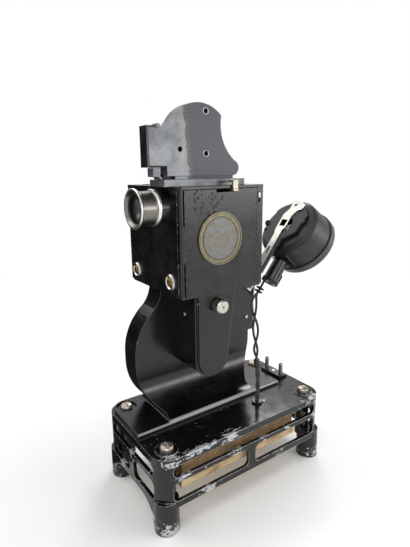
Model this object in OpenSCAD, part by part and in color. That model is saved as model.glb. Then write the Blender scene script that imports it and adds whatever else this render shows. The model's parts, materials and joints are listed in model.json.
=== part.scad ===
// Hand-cranked home film projector for narrow film, with its lamp house swung open.
// The origin is on the ground under the middle of the base. The lens looks along -Y,
// the side door with its medallion is on +X, and the crank is on -X.

/* [Base] */
// Width of the base casting
base_w = 94; // [90:1:104]
// Length of the base casting
base_l = 169; // [166:1:184]
// Height of the base top above the ground
base_top = 61.5; // [60:0.5:68]
// Radius of the base corners
base_r = 15; // [12:0.5:17]
// Wall of the base casting
base_wall = 3; // [2.4:0.2:4]
// Thickness of the base top
base_plate_t = 4; // [3:0.5:5]
// Height of the lower edge of the base wall
base_skirt_z = 21; // [18:0.5:22]
// Height of the long upper slots
upper_slot_h = 10; // [8:0.5:10.5]
// Height of the lower slots
lower_slot_h = 15.5; // [12:0.5:16]
// Height of the thin rail between the slots
rail_h = 4; // [3:0.5:5]
// Distance from the end of a wall to its slots
slot_end = 11; // [10:0.5:14]
// Width of the web between two lower slots
web_w = 7; // [5:0.5:10]
// Radius of a corner screw head
corner_head_r = 5; // [4.6:0.1:5.8]
// Radius of the screw holes in the feet
foot_hole_r = 2.1; // [1.8:0.1:2.4]

/* [Pillar] */
// Place of the pillar's outer side face along X
pillar_x = -18; // [-20:0.5:-16]
// Thickness of the pillar slab
pillar_t = 20; // [17:0.5:22]
// Place of the pillar's middle along Y
pillar_y = -9; // [-11:0.5:-7]
// Height of the top of the pillar's round belly
belly_z = 112; // [110:0.5:114]
// Half length of the belly
belly_w = 59; // [57:0.2:60]
// Half length of the pillar's neck under the case
neck_w = 33.5; // [32:0.5:35]
// Radius of the hollow flare from the side face to the foot flange
flare_r = 26; // [22:0.5:27]
// Thickness of the pillar's foot flange
flange_t = 2.5; // [2:0.25:3.5]

/* [Case] */
// Width of the case
case_w = 77.5; // [76:0.5:84]
// Length of the case
case_l = 73.5; // [72:0.5:78]
// Height of the case, lid included
case_h = 76; // [74:0.5:80]
// Place of the door's outer face along X
case_x = 32; // [31:0.5:34]
// Place of the front panel's outer face along Y
case_y = -54; // [-56:0.5:-53]
// Height of the lower edge of the case walls
case_z = 172; // [170:0.5:176]
// Thickness of the case sheet
sheet_t = 1.5; // [1.2:0.1:1.8]
// Thickness of the lid
lid_t = 2; // [1.6:0.2:2.6]
// Radius of the medallion
medallion_r = 19; // [16:0.5:21]

/* [Lens and film] */
// Place of the film and the lens axis along X
optic_x = 14; // [13:0.25:15]
// Distance of the lens axis below the top of the case
optic_drop = 14; // [13.5:0.25:16]
// Outer radius of the fixed lens tube
tube_r = 10.5; // [9.5:0.1:11]
// Outer radius of the focusing barrel
barrel_r = 11.4; // [11.2:0.1:12]
// Radius of the barrel's front rim
rim_r = 13.6; // [12.8:0.1:14]
// Width of the picture window
window_w = 6.2; // [5:0.1:7]
// Height of the picture window
window_h = 6.5; // [5:0.1:7]
// Thickness of the film magazine
magazine_t = 9.5; // [9:0.25:11]
// Radius of the magazine's round top
magazine_r = 26.8; // [26:0.2:27.6]

/* [Film chamber] */
// Depth of the film chamber's body from the pillar
chamber_d = 36; // [33:0.5:38]
// Radius of the chamber's round bottom
chamber_r = 16; // [15:0.25:17]
// Wall of the film chamber
chamber_wall = 1.6; // [1.2:0.1:2]
// Radius of the thumbscrew
knob_r = 5.7; // [5:0.1:6.4]

/* [Drive] */
// Teeth on the drive gear
gear_teeth = 72; // [72]
// Teeth on the pinion
pinion_teeth = 9; // [9]
// Distance from the crank's axis to its handle
crank_reach = 55; // [50:1:60]
// Length of the crank's handle
handle_l = 34; // [28:1:38]

/* [Lamp house] */
// How far the lamp house is swung open
open_deg = 38.8; // [30:0.1:42]
// Radius of the lamp drum at its seam
drum_r = 26.8; // [25:0.2:28]
// Length of the lamp drum behind its seam
drum_l = 19.9; // [18:0.5:22]
// Radius of the rear cap
cap_r = 29.6; // [29.5:0.1:31]
// Outer radius of the lamp holder's tube
holder_tube_r = 6.4; // [6.2:0.1:7]

/* [Hidden] */
$fn = 64;

gap = 0.3;
running = 0.05;

// Base
post_x = base_w / 2 - base_r;
post_y = base_l / 2 - base_r;
lower_slot_z = base_skirt_z + 5;
upper_slot_z = lower_slot_z + lower_slot_h + rail_h;
screw_x = base_w / 2 - 12.9;
screw_y = base_l / 2 - 13.1;
foot_x = base_w / 2 - 8.5;
foot_y = base_l / 2 - 9;
foot_r = 9.5;
foot_hole_x = base_w / 2 - 6.5;
foot_hole_y = base_l / 2 - 5.5;
boss_r = 6;
pad_r = boss_r + 2.4;
pad_t = 0.8;
former_w = 78;
former_y0 = -62;
former_l = 115;
former_top = base_top - base_plate_t;
former_z = 37.5;
mat_h = 7.8;
plinth_x = -8.3;
plinth_y = 76;
plinth_t = 2.5;
pin_spacing = 19;
pin_r = 2;
pin_h = 14.5;
pin_shoulder = 0.5;
pin_root_r = pin_r - 0.3;
bush_x = 23.5;
bush_y = 25.5;

// Pillar
pillar_x0 = pillar_x - pillar_t;
pillar_top = case_z - sheet_t;
belly_top_r = 48;
belly_low_r = 50;
belly_low_z = belly_z - 8;
neck_fillet_r = 26;
neck_from_z = belly_z + 36;
neck_fillet_z = neck_from_z + 19.6;
waist_z = base_top + 6;
flange_reach = 73;
flange_side = pillar_x + flare_r;
flange_margin = 2.5;
flare_lip = 4.4;
far_flare_r = 6;
bracket_z0 = 111;
bracket_y = pillar_y + 64;
bracket_t = 1.2;
bracket_pin_y = pillar_y + 55.4;
bracket_pin_z = 124.5;
bracket_pin_r = 1.45;

// Case
case_x0 = case_x - case_w;
case_y1 = case_y + case_l;
case_top = case_z + case_h;
optic_z = case_top - optic_drop;
wall_top = case_top - lid_t;
lid_over = 0.8;
back_flange_w = 5.8;
hinge_x = case_x - 1.8;
hinge_y = case_y + 1.8;
knuckle_r = 1.7;
door_pin_r = 0.7;
door_y0 = case_y + 3.7;
door_y1 = case_y1 - back_flange_w - gap;
door_z0 = case_z + gap;
door_z1 = wall_top - gap;
knuckle_z0 = case_z + 24;
knuckle_z1 = case_z + 50;
medallion_y = case_y + 33.3;
medallion_z = case_z + 39.2;
medallion_t = 1.2;
lever_y = case_y + 45.1;
lever_w = 4.2;
lever_travel = 12;
notch_h = 2.4;
latch_y = door_y1 + gap + 0.8;
latch_z = case_top - 9.7;
latch_w = 2.4;
latch_h = 3.8;
latch_travel = 3.4;
cup_r = 6;
cup_z = case_z + 9;
cup_x = [case_x - 14.3, case_x0 + 10.7];

// Lens
lens_y = case_y;
tube_wall = 1.2;
tube_front = lens_y - 12.5;
barrel_back = lens_y - 9.5;
barrel_front = lens_y - 25.5;
barrel_step = lens_y - 16.5;
glass_r = tube_r - tube_wall;

// Drive
crank_y = case_y + 38;
crank_z = optic_z - 28;
shutter_y = case_y1 - 17.5;
shutter_z = optic_z;
shaft_r = 2;
gear_x = case_x0 + 5.5;
gear_t = 4;
centre_d = sqrt(pow(shutter_y - crank_y, 2) + pow(shutter_z - crank_z, 2));
mesh_deg = atan2(shutter_z - crank_z, shutter_y - crank_y);
gear_module = 2 * centre_d / (gear_teeth + pinion_teeth);
frame_x = case_x0 + 21.5;
frame_t = 3;
bearing_x = optic_x + 9;
bearing_t = 2.5;
arm_x = case_x0 - 6.5;
arm_t = 3;
handle_r = 6.5;
handle_pin_r = 1.8;
cam_x = optic_x - 18;
cam_t = 3;
cam_r = 4.4;
cam_throw = 1.6;
claw_slot = 8.2;
stem_z = optic_z - 29;
claw_slot_z = optic_z - 30.5;
claw_slot_h = 6.5;

// Magazine
mag_x0 = optic_x + 0.5 - magazine_t / 2;
mag_x1 = mag_x0 + magazine_t;
cheek_t = 1.2;
mag_y = case_y + 25.5;
mag_z = case_top + 28.5;
mag_low = case_top + 6.7;
mag_front = case_y - 14.2;
base_block_t = 4.6;
notch_z = 6.8;
mag_head = 30.8;
neck_r = 12;
lobe_y = mag_y + 29.3;
lobe_r = 5.4;
neck_cy = mag_y - sqrt(pow(magazine_r + neck_r, 2) - pow(mag_low + mag_head + neck_r - mag_z, 2));
flap_t = 1.2;
flap_y = mag_front + 8;
flap_z = mag_low + mag_head + 1.7;
flap_pin_r = 0.6;

// Film chamber
chamber_front = -34;
chamber_cy = chamber_front + chamber_r;
chamber_cz = 113.5;
chamber_lean = 7;
chamber_x = pillar_x + chamber_d;
cover_inset = 2.2;
cover_t = 2;
knob_y = -15.2;
knob_z = 157.5;
screw_r = 2;
screw_l = 17;
post_l = chamber_d - screw_l + 9;

// Lamp house, drawn closed and then swung open about its hinge
swing_y = case_y1 - 6;
swing_z = case_z - 1.8;
swing_r = 2.8;
swing_pin_r = 1.5;
ear_t = 2.2;
ear_x0 = optic_x - 6.8;
ear_span = 16;
strip_y = case_y1 + 2.5;
strip_t = 1.4;
strip_x0 = optic_x - 3.4;
strip_w = 8.8;
strip_right = strip_x0 + 6.4;
flange_y = strip_y + strip_t;
lamp_flange_t = 2;
neck_y = flange_y + lamp_flange_t;
seam_y = strip_y + 7.6;
drum_end = seam_y + drum_l;
drum_end_r = drum_r + 1.6;
drum_wall = 1;
cap_y = drum_end + 1;
cap_l = 7.8;
spigot_l = 1.1;
spigot_r = drum_end_r - drum_wall - 0.3;
holder_x = optic_x + 1;
holder_y = strip_y + 19;
holder_z0 = optic_z - 47;
stem_x = holder_x - 6;
bulb_r = 4.9;

// Outline of the base plan, shrunk by a margin
module base_plan(margin = 0) {
    r = base_r - margin;
    for (sx = [-1, 1]) for (sy = [-1, 1]) translate([sx * post_x, sy * post_y]) circle(r);
    square([2 * post_x, base_l - 2 * margin], center = true);
    square([base_w - 2 * margin, 2 * post_y], center = true);
}

// A slot with round ends that lies flat in the XY plane, from its lower left corner
module round_slot(length, height) {
    r = height / 2;
    translate([r, r]) circle(r);
    translate([length - r, r]) circle(r);
    translate([r, 0]) square([length - 2 * r, height]);
}

// A slot with small corner radii
module soft_slot(length, height, r) {
    for (x = [r, length - r]) for (y = [r, height - r]) translate([x, y]) circle(r);
    translate([r, 0]) square([length - 2 * r, height]);
    translate([0, r]) square([length, height - 2 * r]);
}

// Slots of one base wall, in a plane with its length along X and height along Y
module wall_slots(length) {
    run = length - 2 * slot_end;
    half = (run - web_w) / 2;
    translate([-run / 2, upper_slot_z]) round_slot(run, upper_slot_h);
    for (x = [-run / 2, web_w / 2]) translate([x, lower_slot_z]) soft_slot(half, lower_slot_h, 4);
}

module foot(sx, sy) {
    difference() {
        hull() {
            translate([sx * (foot_x - 0.6), sy * (foot_y - 0.1), base_skirt_z])
                cylinder(h = 5, r = foot_r, $fn = 32);
            translate([sx * (foot_x - 0.8), sy * (foot_y - 0.8), 9])
                cylinder(h = 1, r = foot_r - 0.9, $fn = 32);
            translate([sx * foot_x, sy * foot_y, 0]) cylinder(h = 3, r = foot_r, $fn = 32);
        }
        translate([sx * foot_hole_x, sy * foot_hole_y, -1]) cylinder(h = base_skirt_z, r = foot_hole_r);
    }
}

// Curved bracket between the end wall and a foot
module end_bracket(sx, sy) {
    reach = 18;
    translate([sx * (post_x + 3), sy * (base_l / 2 - base_wall / 2), base_skirt_z + 0.5])
        rotate([90, 0, 0]) linear_extrude(base_wall, center = true) scale_x(sx) difference() {
            translate([-reach, -reach]) square(reach);
            translate([-reach, -reach]) circle(reach - 0.5);
        }
}

module scale_x(s) {
    if (s < 0) mirror([1, 0]) children();
    else children();
}

module base_casting() {
    color([0.09, 0.09, 0.1]) difference() {
        union() {
            difference() {
                translate([0, 0, base_skirt_z]) linear_extrude(base_top - base_skirt_z) base_plan();
                translate([0, 0, base_skirt_z - 1])
                    linear_extrude(base_top - base_plate_t - base_skirt_z + 1) base_plan(base_wall);
                rotate([90, 0, 90]) linear_extrude(base_w + 2, center = true) wall_slots(base_l);
                rotate([90, 0, 0]) linear_extrude(base_l + 2, center = true) wall_slots(base_w);
            }
            for (sx = [-1, 1]) for (sy = [-1, 1]) {
                foot(sx, sy);
                end_bracket(sx, sy);
                translate([sx * screw_x, sy * screw_y, base_skirt_z])
                    cylinder(h = base_top - base_skirt_z - 0.5, r = boss_r);
                translate([sx * screw_x, sy * screw_y, base_top - 1]) cylinder(h = pad_t + 1, r = pad_r);
            }
        }
        translate([bush_x, bush_y, base_top - base_plate_t - 1]) cylinder(h = base_plate_t + 2, r = 3);
        for (s = [-1, 1]) translate([plinth_x + s * pin_spacing / 2, plinth_y, base_top - base_plate_t - 1])
            cylinder(h = base_plate_t + 2, r = pin_r + 0.5);
    }
}

module corner_screws() {
    color([0.78, 0.72, 0.58]) for (sx = [-1, 1]) for (sy = [-1, 1])
        translate([sx * screw_x, sy * screw_y, base_top + pad_t]) difference() {
            rotate_extrude() polygon([[0, 0], [corner_head_r, 0], [corner_head_r, 2.2],
                [corner_head_r - 0.7, 3.2], [corner_head_r - 2.4, 3.8], [0, 4]]);
            translate([0, 0, 3.6]) cube([2 * corner_head_r + 1, 1.1, 1.6], center = true);
        }
}

module resistor_former() {
    color([0.62, 0.48, 0.3]) {
        for (s = [-1, 1]) translate([s * (former_w / 2 - 1.5), former_y0 + former_l / 2,
                (former_z + former_top) / 2])
            cube([3, former_l, former_top - former_z], center = true);
        for (y = [former_y0, former_y0 + former_l - 3]) translate([-former_w / 2 + 3, y, former_z])
            cube([former_w - 6, 3, former_top - former_z]);
    }
}

module resistor_mat() {
    color([0.87, 0.8, 0.66]) translate([-former_w / 2 - 1.5, former_y0 - 1.5, former_z - mat_h])
        cube([former_w + 3, former_l + 3, mat_h]);
}

module pin_plinth() {
    color([0.08, 0.08, 0.08]) translate([plinth_x, plinth_y, base_top]) difference() {
        translate([0, 0, plinth_t / 2]) cube([pin_spacing + 7, 9, plinth_t], center = true);
        for (s = [-1, 1]) translate([s * pin_spacing / 2, 0, -1]) cylinder(h = plinth_t + 2, r = pin_root_r);
    }
}

module mains_pins() {
    color([0.6, 0.58, 0.55]) for (s = [-1, 1])
        translate([plinth_x + s * pin_spacing / 2, plinth_y, base_top - base_plate_t]) {
            cylinder(h = base_plate_t + plinth_t + pin_shoulder, r = pin_root_r);
            translate([0, 0, base_plate_t + plinth_t + pin_shoulder])
                cylinder(h = pin_h - pin_r - plinth_t - pin_shoulder, r = pin_r);
            translate([0, 0, base_plate_t + pin_h - pin_r]) sphere(pin_r);
        }
}

module cord_bush() {
    color([0.1, 0.1, 0.1]) translate([bush_x, bush_y, base_top]) difference() {
        union() {
            cylinder(h = 1.8, r = 4.6);
            translate([0, 0, -base_plate_t]) cylinder(h = base_plate_t + 0.5, r = 3);
        }
        translate([0, 0, -base_plate_t - 1]) cylinder(h = base_plate_t + 4, r = 1.9);
    }
}

// Half length of the pillar at a height above the waist
function bulge(z, middle, r) = belly_w - r + sqrt(pow(r, 2) - pow(z - middle, 2));
function belly(z) = z >= neck_fillet_z ? neck_w
    : z >= neck_from_z
    ? neck_w + neck_fillet_r - sqrt(pow(neck_fillet_r, 2) - pow(z - neck_fillet_z, 2))
    : z >= belly_z ? bulge(z, belly_z, belly_top_r)
    : z >= belly_low_z ? belly_w
    : bulge(z, belly_low_z, belly_low_r);

// Side outline of the pillar: length along X, height along Y
module pillar_side() {
    low = belly(waist_z);
    toe = waist_z - base_top - flange_t;
    steps = 36;
    right = [for (i = [0 : steps]) let (z = waist_z + (pillar_top - waist_z) * i / steps) [belly(z), z]];
    left = [for (i = [steps : -1 : 0]) [-right[i][0], right[i][1]]];
    polygon(concat([[low, base_top]], right, left, [[-low, base_top]]));
    translate([-base_l / 2, base_top]) square([base_l / 2 + flange_reach, flange_t]);
    for (s = [-1, 1]) difference() {
        translate([s > 0 ? low - 2 : -low - toe, base_top + flange_t - 1]) square([toe + 2, toe + 1]);
        translate([s * (low + toe), waist_z]) circle(toe);
    }
}

// End outline of the pillar: width along X, height along Y
module pillar_end() {
    translate([pillar_x0, base_top]) square([pillar_t, pillar_top - base_top]);
    translate([-base_w / 2, base_top]) square([base_w / 2 + flange_side, flange_t]);
    difference() {
        translate([pillar_x - 2, base_top]) square([flare_r + 2, flare_r + flare_lip]);
        translate([flange_side, base_top + flare_lip + flare_r]) circle(flare_r, $fn = 128);
    }
    translate([flange_side, base_top + flare_lip / 2]) circle(flare_lip / 2);
    difference() {
        translate([pillar_x0 - far_flare_r, base_top + 1])
            square([far_flare_r + 2, far_flare_r + flange_t - 1]);
        translate([pillar_x0 - far_flare_r, base_top + flange_t + far_flare_r]) circle(far_flare_r);
    }
}

module pillar() {
    color([0.08, 0.08, 0.09]) difference() {
        intersection() {
            translate([0, pillar_y, 0]) rotate([90, 0, 90]) linear_extrude(140, center = true) pillar_side();
            rotate([90, 0, 0]) linear_extrude(200, center = true) pillar_end();
            translate([0, 0, base_top]) linear_extrude(pillar_top - base_top) base_plan(flange_margin);
        }
        for (sy = [-1, 1]) translate([-screw_x, sy * screw_y, base_top - 1])
            cylinder(h = flange_t + 2, r = pad_r + gap);
        translate([pillar_x0 - 1, bracket_pin_y, bracket_pin_z]) rotate([0, 90, 0])
            cylinder(h = pillar_t + 2, r = bracket_pin_r);
    }
}

module bracket_cheek() {
    difference() {
        polygon([[pillar_y + 36, bracket_z0], [bracket_y + bracket_t, bracket_z0],
            [bracket_y + bracket_t, bracket_z0 + 22], [bracket_y - 1, bracket_z0 + 31],
            [bracket_y - 12, bracket_z0 + 41], [pillar_y + neck_w, pillar_top],
            [pillar_y + neck_w - 10, pillar_top], [pillar_y + 36, bracket_z0 + 29]]);
        translate([bracket_pin_y, bracket_pin_z]) circle(bracket_pin_r);
    }
}

module rear_bracket() {
    color([0.12, 0.12, 0.13]) {
        for (x = [pillar_x, pillar_x0 - bracket_t])
            translate([x, 0, 0]) rotate([90, 0, 90]) linear_extrude(bracket_t) bracket_cheek();
        translate([pillar_x0, 0, 0]) rotate([90, 0, 90]) linear_extrude(pillar_t)
            polygon([[bracket_y, bracket_z0], [bracket_y + bracket_t, bracket_z0],
                [bracket_y + bracket_t, bracket_z0 + 24], [bracket_y + 5, bracket_z0 + 57],
                [bracket_y + 3.8, bracket_z0 + 57], [bracket_y, bracket_z0 + 24]]);
    }
}

module bracket_pin() {
    color([0.85, 0.84, 0.8]) translate([pillar_x0 - bracket_t - 0.8, bracket_pin_y, bracket_pin_z])
        rotate([0, 90, 0]) cylinder(h = pillar_t + 2 * bracket_t + 1.6, r = bracket_pin_r);
}

// Outline of the film chamber, shrunk by a margin: length along X, height along Y
module chamber_outline(margin) {
    r = chamber_r - margin;
    translate([chamber_cy, chamber_cz]) circle(r);
    polygon([[chamber_cy - r, chamber_cz], [chamber_cy + r, chamber_cz],
        [chamber_cy + r + chamber_lean, pillar_top - gap], [chamber_cy - r, pillar_top - gap]]);
}

module chamber_body() {
    color([0.08, 0.08, 0.09]) difference() {
        translate([pillar_x, 0, 0]) rotate([90, 0, 90]) linear_extrude(chamber_d) chamber_outline(0);
        translate([pillar_x + chamber_wall, 0, 0]) rotate([90, 0, 90]) linear_extrude(chamber_d)
            difference() {
                chamber_outline(chamber_wall);
                translate([knob_y, knob_z]) circle(screw_r + 2.5);
            }
        translate([pillar_x + post_l, 0, 0]) rotate([90, 0, 90]) linear_extrude(chamber_d)
            translate([knob_y, knob_z]) circle(screw_r + 4);
        translate([pillar_x + chamber_wall, knob_y, knob_z]) rotate([0, 90, 0])
            cylinder(h = chamber_d, r = screw_r + running);
    }
}

module chamber_cover() {
    color([0.1, 0.1, 0.11]) difference() {
        union() {
            translate([chamber_x - 4, 0, 0]) rotate([90, 0, 90]) linear_extrude(4 + gap)
                chamber_outline(chamber_wall + gap);
            translate([chamber_x + gap, 0, 0]) rotate([90, 0, 90]) linear_extrude(cover_t)
                chamber_outline(cover_inset);
        }
        translate([chamber_x - 5, 0, 0]) rotate([90, 0, 90]) linear_extrude(4)
            chamber_outline(chamber_wall + gap + 1.2);
        translate([chamber_x - 6, knob_y, knob_z]) rotate([0, 90, 0]) cylinder(h = 12, r = screw_r + running);
    }
}

// Knurled outline with pointed ridges
module knurled(r, ridges, depth) {
    polygon([for (i = [0 : 2 * ridges - 1]) let (a = 180 * i / ridges, q = i % 2 == 0 ? r : r - depth)
        [q * cos(a), q * sin(a)]]);
}

module thumbscrew() {
    color([0.83, 0.82, 0.78]) translate([chamber_x + gap + cover_t + 0.1, knob_y, knob_z]) rotate([0, 90, 0])
        difference() {
            union() {
                translate([0, 0, -screw_l]) cylinder(h = screw_l + 0.5, r = screw_r);
                cylinder(h = 1.6, r = knob_r - 0.9);
                translate([0, 0, 1.6]) linear_extrude(5.8) knurled(knob_r, 30, 0.45);
                translate([0, 0, 7.4]) cylinder(h = 1, r1 = knob_r - 0.3, r2 = knob_r - 1.2);
            }
            translate([0, 0, 6]) cylinder(h = 4, r = 0.9);
        }
}

module case_floor() {
    color([0.09, 0.09, 0.1]) difference() {
        translate([case_x0 + 0.8, case_y + 0.8, case_z - sheet_t])
            cube([case_w - 1.6, case_l - 1.6, sheet_t]);
        translate([ear_x0 - gap, swing_y - 4.5, case_z - 5]) cube([ear_span + 2 * gap, 20, 10]);
    }
}

module case_front() {
    color([0.08, 0.08, 0.09]) difference() {
        union() {
            translate([case_x0, case_y, case_z]) cube([case_w - 4, sheet_t, case_h - lid_t]);
            for (z = [[case_z, knuckle_z0 - gap], [knuckle_z1 + gap, wall_top]]) {
                translate([hinge_x, hinge_y, z[0]]) cylinder(h = z[1] - z[0], r = knuckle_r);
                translate([hinge_x - 3, case_y + 0.3, z[0]]) cube([3, sheet_t - 0.3, z[1] - z[0]]);
            }
        }
        translate([optic_x, case_y - 1, optic_z]) rotate([-90, 0, 0]) cylinder(h = 5, r = tube_r);
        translate([hinge_x, hinge_y, case_z - 1]) cylinder(h = case_h + 2, r = door_pin_r);
    }
}

module case_back() {
    color([0.08, 0.08, 0.09]) difference() {
        union() {
            translate([case_x0, case_y1 - sheet_t, case_z]) cube([case_w, sheet_t, case_h - lid_t]);
            translate([case_x - sheet_t, case_y1 - back_flange_w, case_z])
                cube([sheet_t, back_flange_w, case_h - lid_t]);
        }
        translate([optic_x - window_w / 2, case_y1 - 3, optic_z - window_h / 2])
            cube([window_w, 5, window_h]);
        translate([optic_x - 0.8, case_y1 - 3, claw_slot_z]) cube([1.6, 5, claw_slot_h]);
        translate([case_x - 3, latch_y, latch_z - latch_travel])
            cube([5, latch_w, latch_h + latch_travel + gap]);
    }
}

module case_side() {
    color([0.08, 0.08, 0.09]) difference() {
        translate([case_x0, case_y + sheet_t, case_z]) cube([sheet_t, case_l - 2 * sheet_t, case_h - lid_t]);
        translate([case_x0 - 1, crank_y, crank_z]) rotate([0, 90, 0]) cylinder(h = 5, r = shaft_r + 1.5);
        translate([case_x0 - 1, shutter_y, shutter_z]) rotate([0, 90, 0]) cylinder(h = 5, r = shaft_r + 1.5);
    }
}

module case_lid() {
    color([0.09, 0.09, 0.1]) difference() {
        translate([case_x0 - lid_over, case_y - lid_over, wall_top])
            linear_extrude(lid_t) soft_slot(case_w + 2 * lid_over, case_l + 2 * lid_over, 2.5);
        translate([mag_x0 + 1.5, case_y1 - 12, wall_top - 1]) cube([magazine_t - 3, 8, lid_t + 2]);
    }
}

module side_door() {
    color([0.08, 0.08, 0.09]) difference() {
        union() {
            translate([case_x - sheet_t, door_y0, door_z0])
                cube([sheet_t, door_y1 - door_y0, door_z1 - door_z0]);
            translate([hinge_x, hinge_y, knuckle_z0]) cylinder(h = knuckle_z1 - knuckle_z0, r = knuckle_r);
            translate([case_x - sheet_t, hinge_y, knuckle_z0])
                cube([sheet_t - 0.2, 3, knuckle_z1 - knuckle_z0]);
        }
        translate([hinge_x, hinge_y, case_z - 1]) cylinder(h = case_h + 2, r = door_pin_r + running);
        translate([case_x - 3, lever_y - lever_w / 2 - lever_travel - 1, wall_top - notch_h])
            cube([5, lever_travel + lever_w + 2, notch_h + 1]);
    }
}

module door_pin() {
    color([0.5, 0.5, 0.52]) translate([hinge_x, hinge_y, case_z])
        cylinder(h = case_h - lid_t, r = door_pin_r);
}

module door_latch() {
    color([0.82, 0.82, 0.8]) {
        translate([case_x - sheet_t - 1.4, latch_y - 1, latch_z - 4]) cube([1.2, latch_w + 2, latch_h + 6]);
        translate([case_x - sheet_t - 0.3, latch_y + 0.2, latch_z])
            cube([sheet_t + 0.9, latch_w - 0.4, latch_h]);
    }
}

module medallion() {
    color([0.6, 0.54, 0.38]) translate([case_x, medallion_y, medallion_z]) rotate([0, 90, 0]) difference() {
        cylinder(h = medallion_t, r = medallion_r, $fn = 128);
        translate([0, 0, medallion_t - 0.3]) difference() {
            cylinder(h = 1, r = medallion_r - 1, $fn = 128);
            translate([0, 0, -1]) cylinder(h = 3, r = medallion_r - 3.4, $fn = 128);
        }
        translate([0, 0, medallion_t - 0.35]) cylinder(h = 1, r = medallion_r - 4.2, $fn = 128);
    }
}

module screw_cups() {
    color([0.8, 0.8, 0.78]) for (x = cup_x) translate([x, case_y, cup_z]) rotate([90, 0, 0])
        rotate_extrude() polygon([[0, 0], [cup_r, 0], [cup_r, 0.8], [cup_r - 1, 1.6],
            [cup_r - 1.8, 0.7], [0, 0.7]]);
}

module screw_domes() {
    color([0.75, 0.62, 0.36]) for (x = cup_x) translate([x, case_y - 0.7, cup_z]) rotate([90, 0, 0])
        difference() {
            intersection() {
                translate([0, 0, -3]) sphere(5);
                cylinder(h = 5, r = 3.9);
            }
            translate([0, 0, 2]) cube([9, 0.9, 1], center = true);
        }
}

module framing_lever() {
    y0 = lever_y - lever_w / 2;
    color([0.9, 0.88, 0.82]) {
        translate([optic_x + 8, y0, wall_top - notch_h + 0.4]) cube([case_x + 3 - optic_x - 8, lever_w, 1.7]);
        translate([case_x + lid_over + gap, y0, wall_top - notch_h + 0.4])
            cube([1.5, lever_w, notch_h + lid_t + 3.1]);
        translate([case_x - 4, y0, case_top + 2]) cube([6.5, lever_w, 1.5]);
    }
}

module lens_tube() {
    color([0.55, 0.55, 0.56]) translate([optic_x, lens_y, optic_z]) rotate([90, 0, 0]) rotate_extrude()
        polygon([[glass_r, -8], [tube_r + 1.3, -8], [tube_r + 1.3, -sheet_t - running],
            [tube_r, -sheet_t - running], [tube_r, lens_y - tube_front], [glass_r, lens_y - tube_front]]);
}

module lens_barrel() {
    b = lens_y - barrel_back;
    s = lens_y - barrel_step;
    f = lens_y - barrel_front;
    color([0.8, 0.8, 0.79]) translate([optic_x, lens_y, optic_z]) rotate([90, 0, 0]) rotate_extrude()
        polygon([[tube_r + running, b], [barrel_r + 0.9, b], [barrel_r + 1.3, b + 0.8],
            [barrel_r + 1.3, b + 2], [barrel_r + 0.9, b + 2.8], [barrel_r, b + 3],
            [barrel_r, f - 3], [barrel_r + 0.8, f - 1.7],
            [rim_r, f - 1], [rim_r, f - 0.3], [rim_r - 0.5, f], [rim_r - 1.6, f],
            [glass_r + 0.8, f - 1.6], [glass_r + 0.8, s], [tube_r + running, s]]);
}

// Lens of two domes, revolved from one outline of chords
module lens_disc(r, edge, bulge) {
    ball = (r * r + bulge * bulge) / (2 * bulge);
    front = [for (i = [0 : 6]) let (x = r * i / 6) [x, edge / 2 + bulge - ball + sqrt(ball * ball - x * x)]];
    back = [for (i = [6 : -1 : 0]) [front[i][0], -front[i][1]]];
    rotate_extrude() polygon(concat(front, back));
}

module front_glass() {
    color([0.7, 0.78, 0.8, 0.5]) translate([optic_x, barrel_step - 3.5, optic_z]) rotate([90, 0, 0])
        lens_disc(glass_r + 0.8, 1.2, 1.4);
}

module rear_glass() {
    color([0.7, 0.78, 0.8, 0.5]) translate([optic_x, lens_y + 5, optic_z]) rotate([90, 0, 0])
        lens_disc(glass_r, 1.2, 1.2);
}

module film_gate() {
    color([0.3, 0.3, 0.31]) difference() {
        translate([optic_x - 6.5, case_y1, case_z + 10]) cube([13, strip_y - case_y1 - gap, case_h - 14]);
        translate([optic_x - window_w / 2, case_y1 - 1, optic_z - window_h / 2])
            cube([window_w, 6, window_h]);
        translate([optic_x - 0.8, case_y1 - 1, claw_slot_z]) cube([1.6, 6, claw_slot_h]);
        translate([optic_x - 4.8, case_y1 + 1.2, case_z + 9]) cube([9.6, 5, case_h]);
    }
}

module mechanism_frame() {
    color([0.2, 0.2, 0.21]) {
        difference() {
            translate([frame_x, case_y + 6, case_z]) cube([frame_t, case_l - 14, case_h - lid_t - 6]);
            for (p = [[crank_y, crank_z], [shutter_y, shutter_z]])
                translate([frame_x - 1, p[0], p[1]]) rotate([0, 90, 0])
                    cylinder(h = frame_t + 2, r = shaft_r + running);
        }
        difference() {
            translate([bearing_x, shutter_y - 6, shutter_z - 8])
                cube([bearing_t, case_y1 - sheet_t - shutter_y + 6, 16]);
            translate([bearing_x - 1, shutter_y, shutter_z]) rotate([0, 90, 0])
                cylinder(h = bearing_t + 2, r = shaft_r + running);
        }
        difference() {
            translate([cam_x - 2, shutter_y - 5, stem_z + 9])
                cube([cam_t + 4, case_y1 - sheet_t - shutter_y + 5, 4]);
            translate([cam_x - 2 * running, shutter_y - 3 - 2 * running, stem_z + 8])
                cube([cam_t + 4 * running, 6 + 4 * running, 6]);
        }
    }
}

module shaft_bushes() {
    color([0.72, 0.6, 0.35]) for (p = [[crank_y, crank_z, 2.2], [shutter_y, shutter_z, 0]])
        translate([case_x0 - p[2], p[0], p[1]]) rotate([0, 90, 0]) difference() {
            union() {
                cylinder(h = sheet_t + p[2], r = shaft_r + 1.5);
                translate([0, 0, sheet_t + p[2]]) cylinder(h = 1.4, r = shaft_r + 3);
            }
            translate([0, 0, -1]) cylinder(h = 8, r = shaft_r + running);
        }
}

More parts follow.
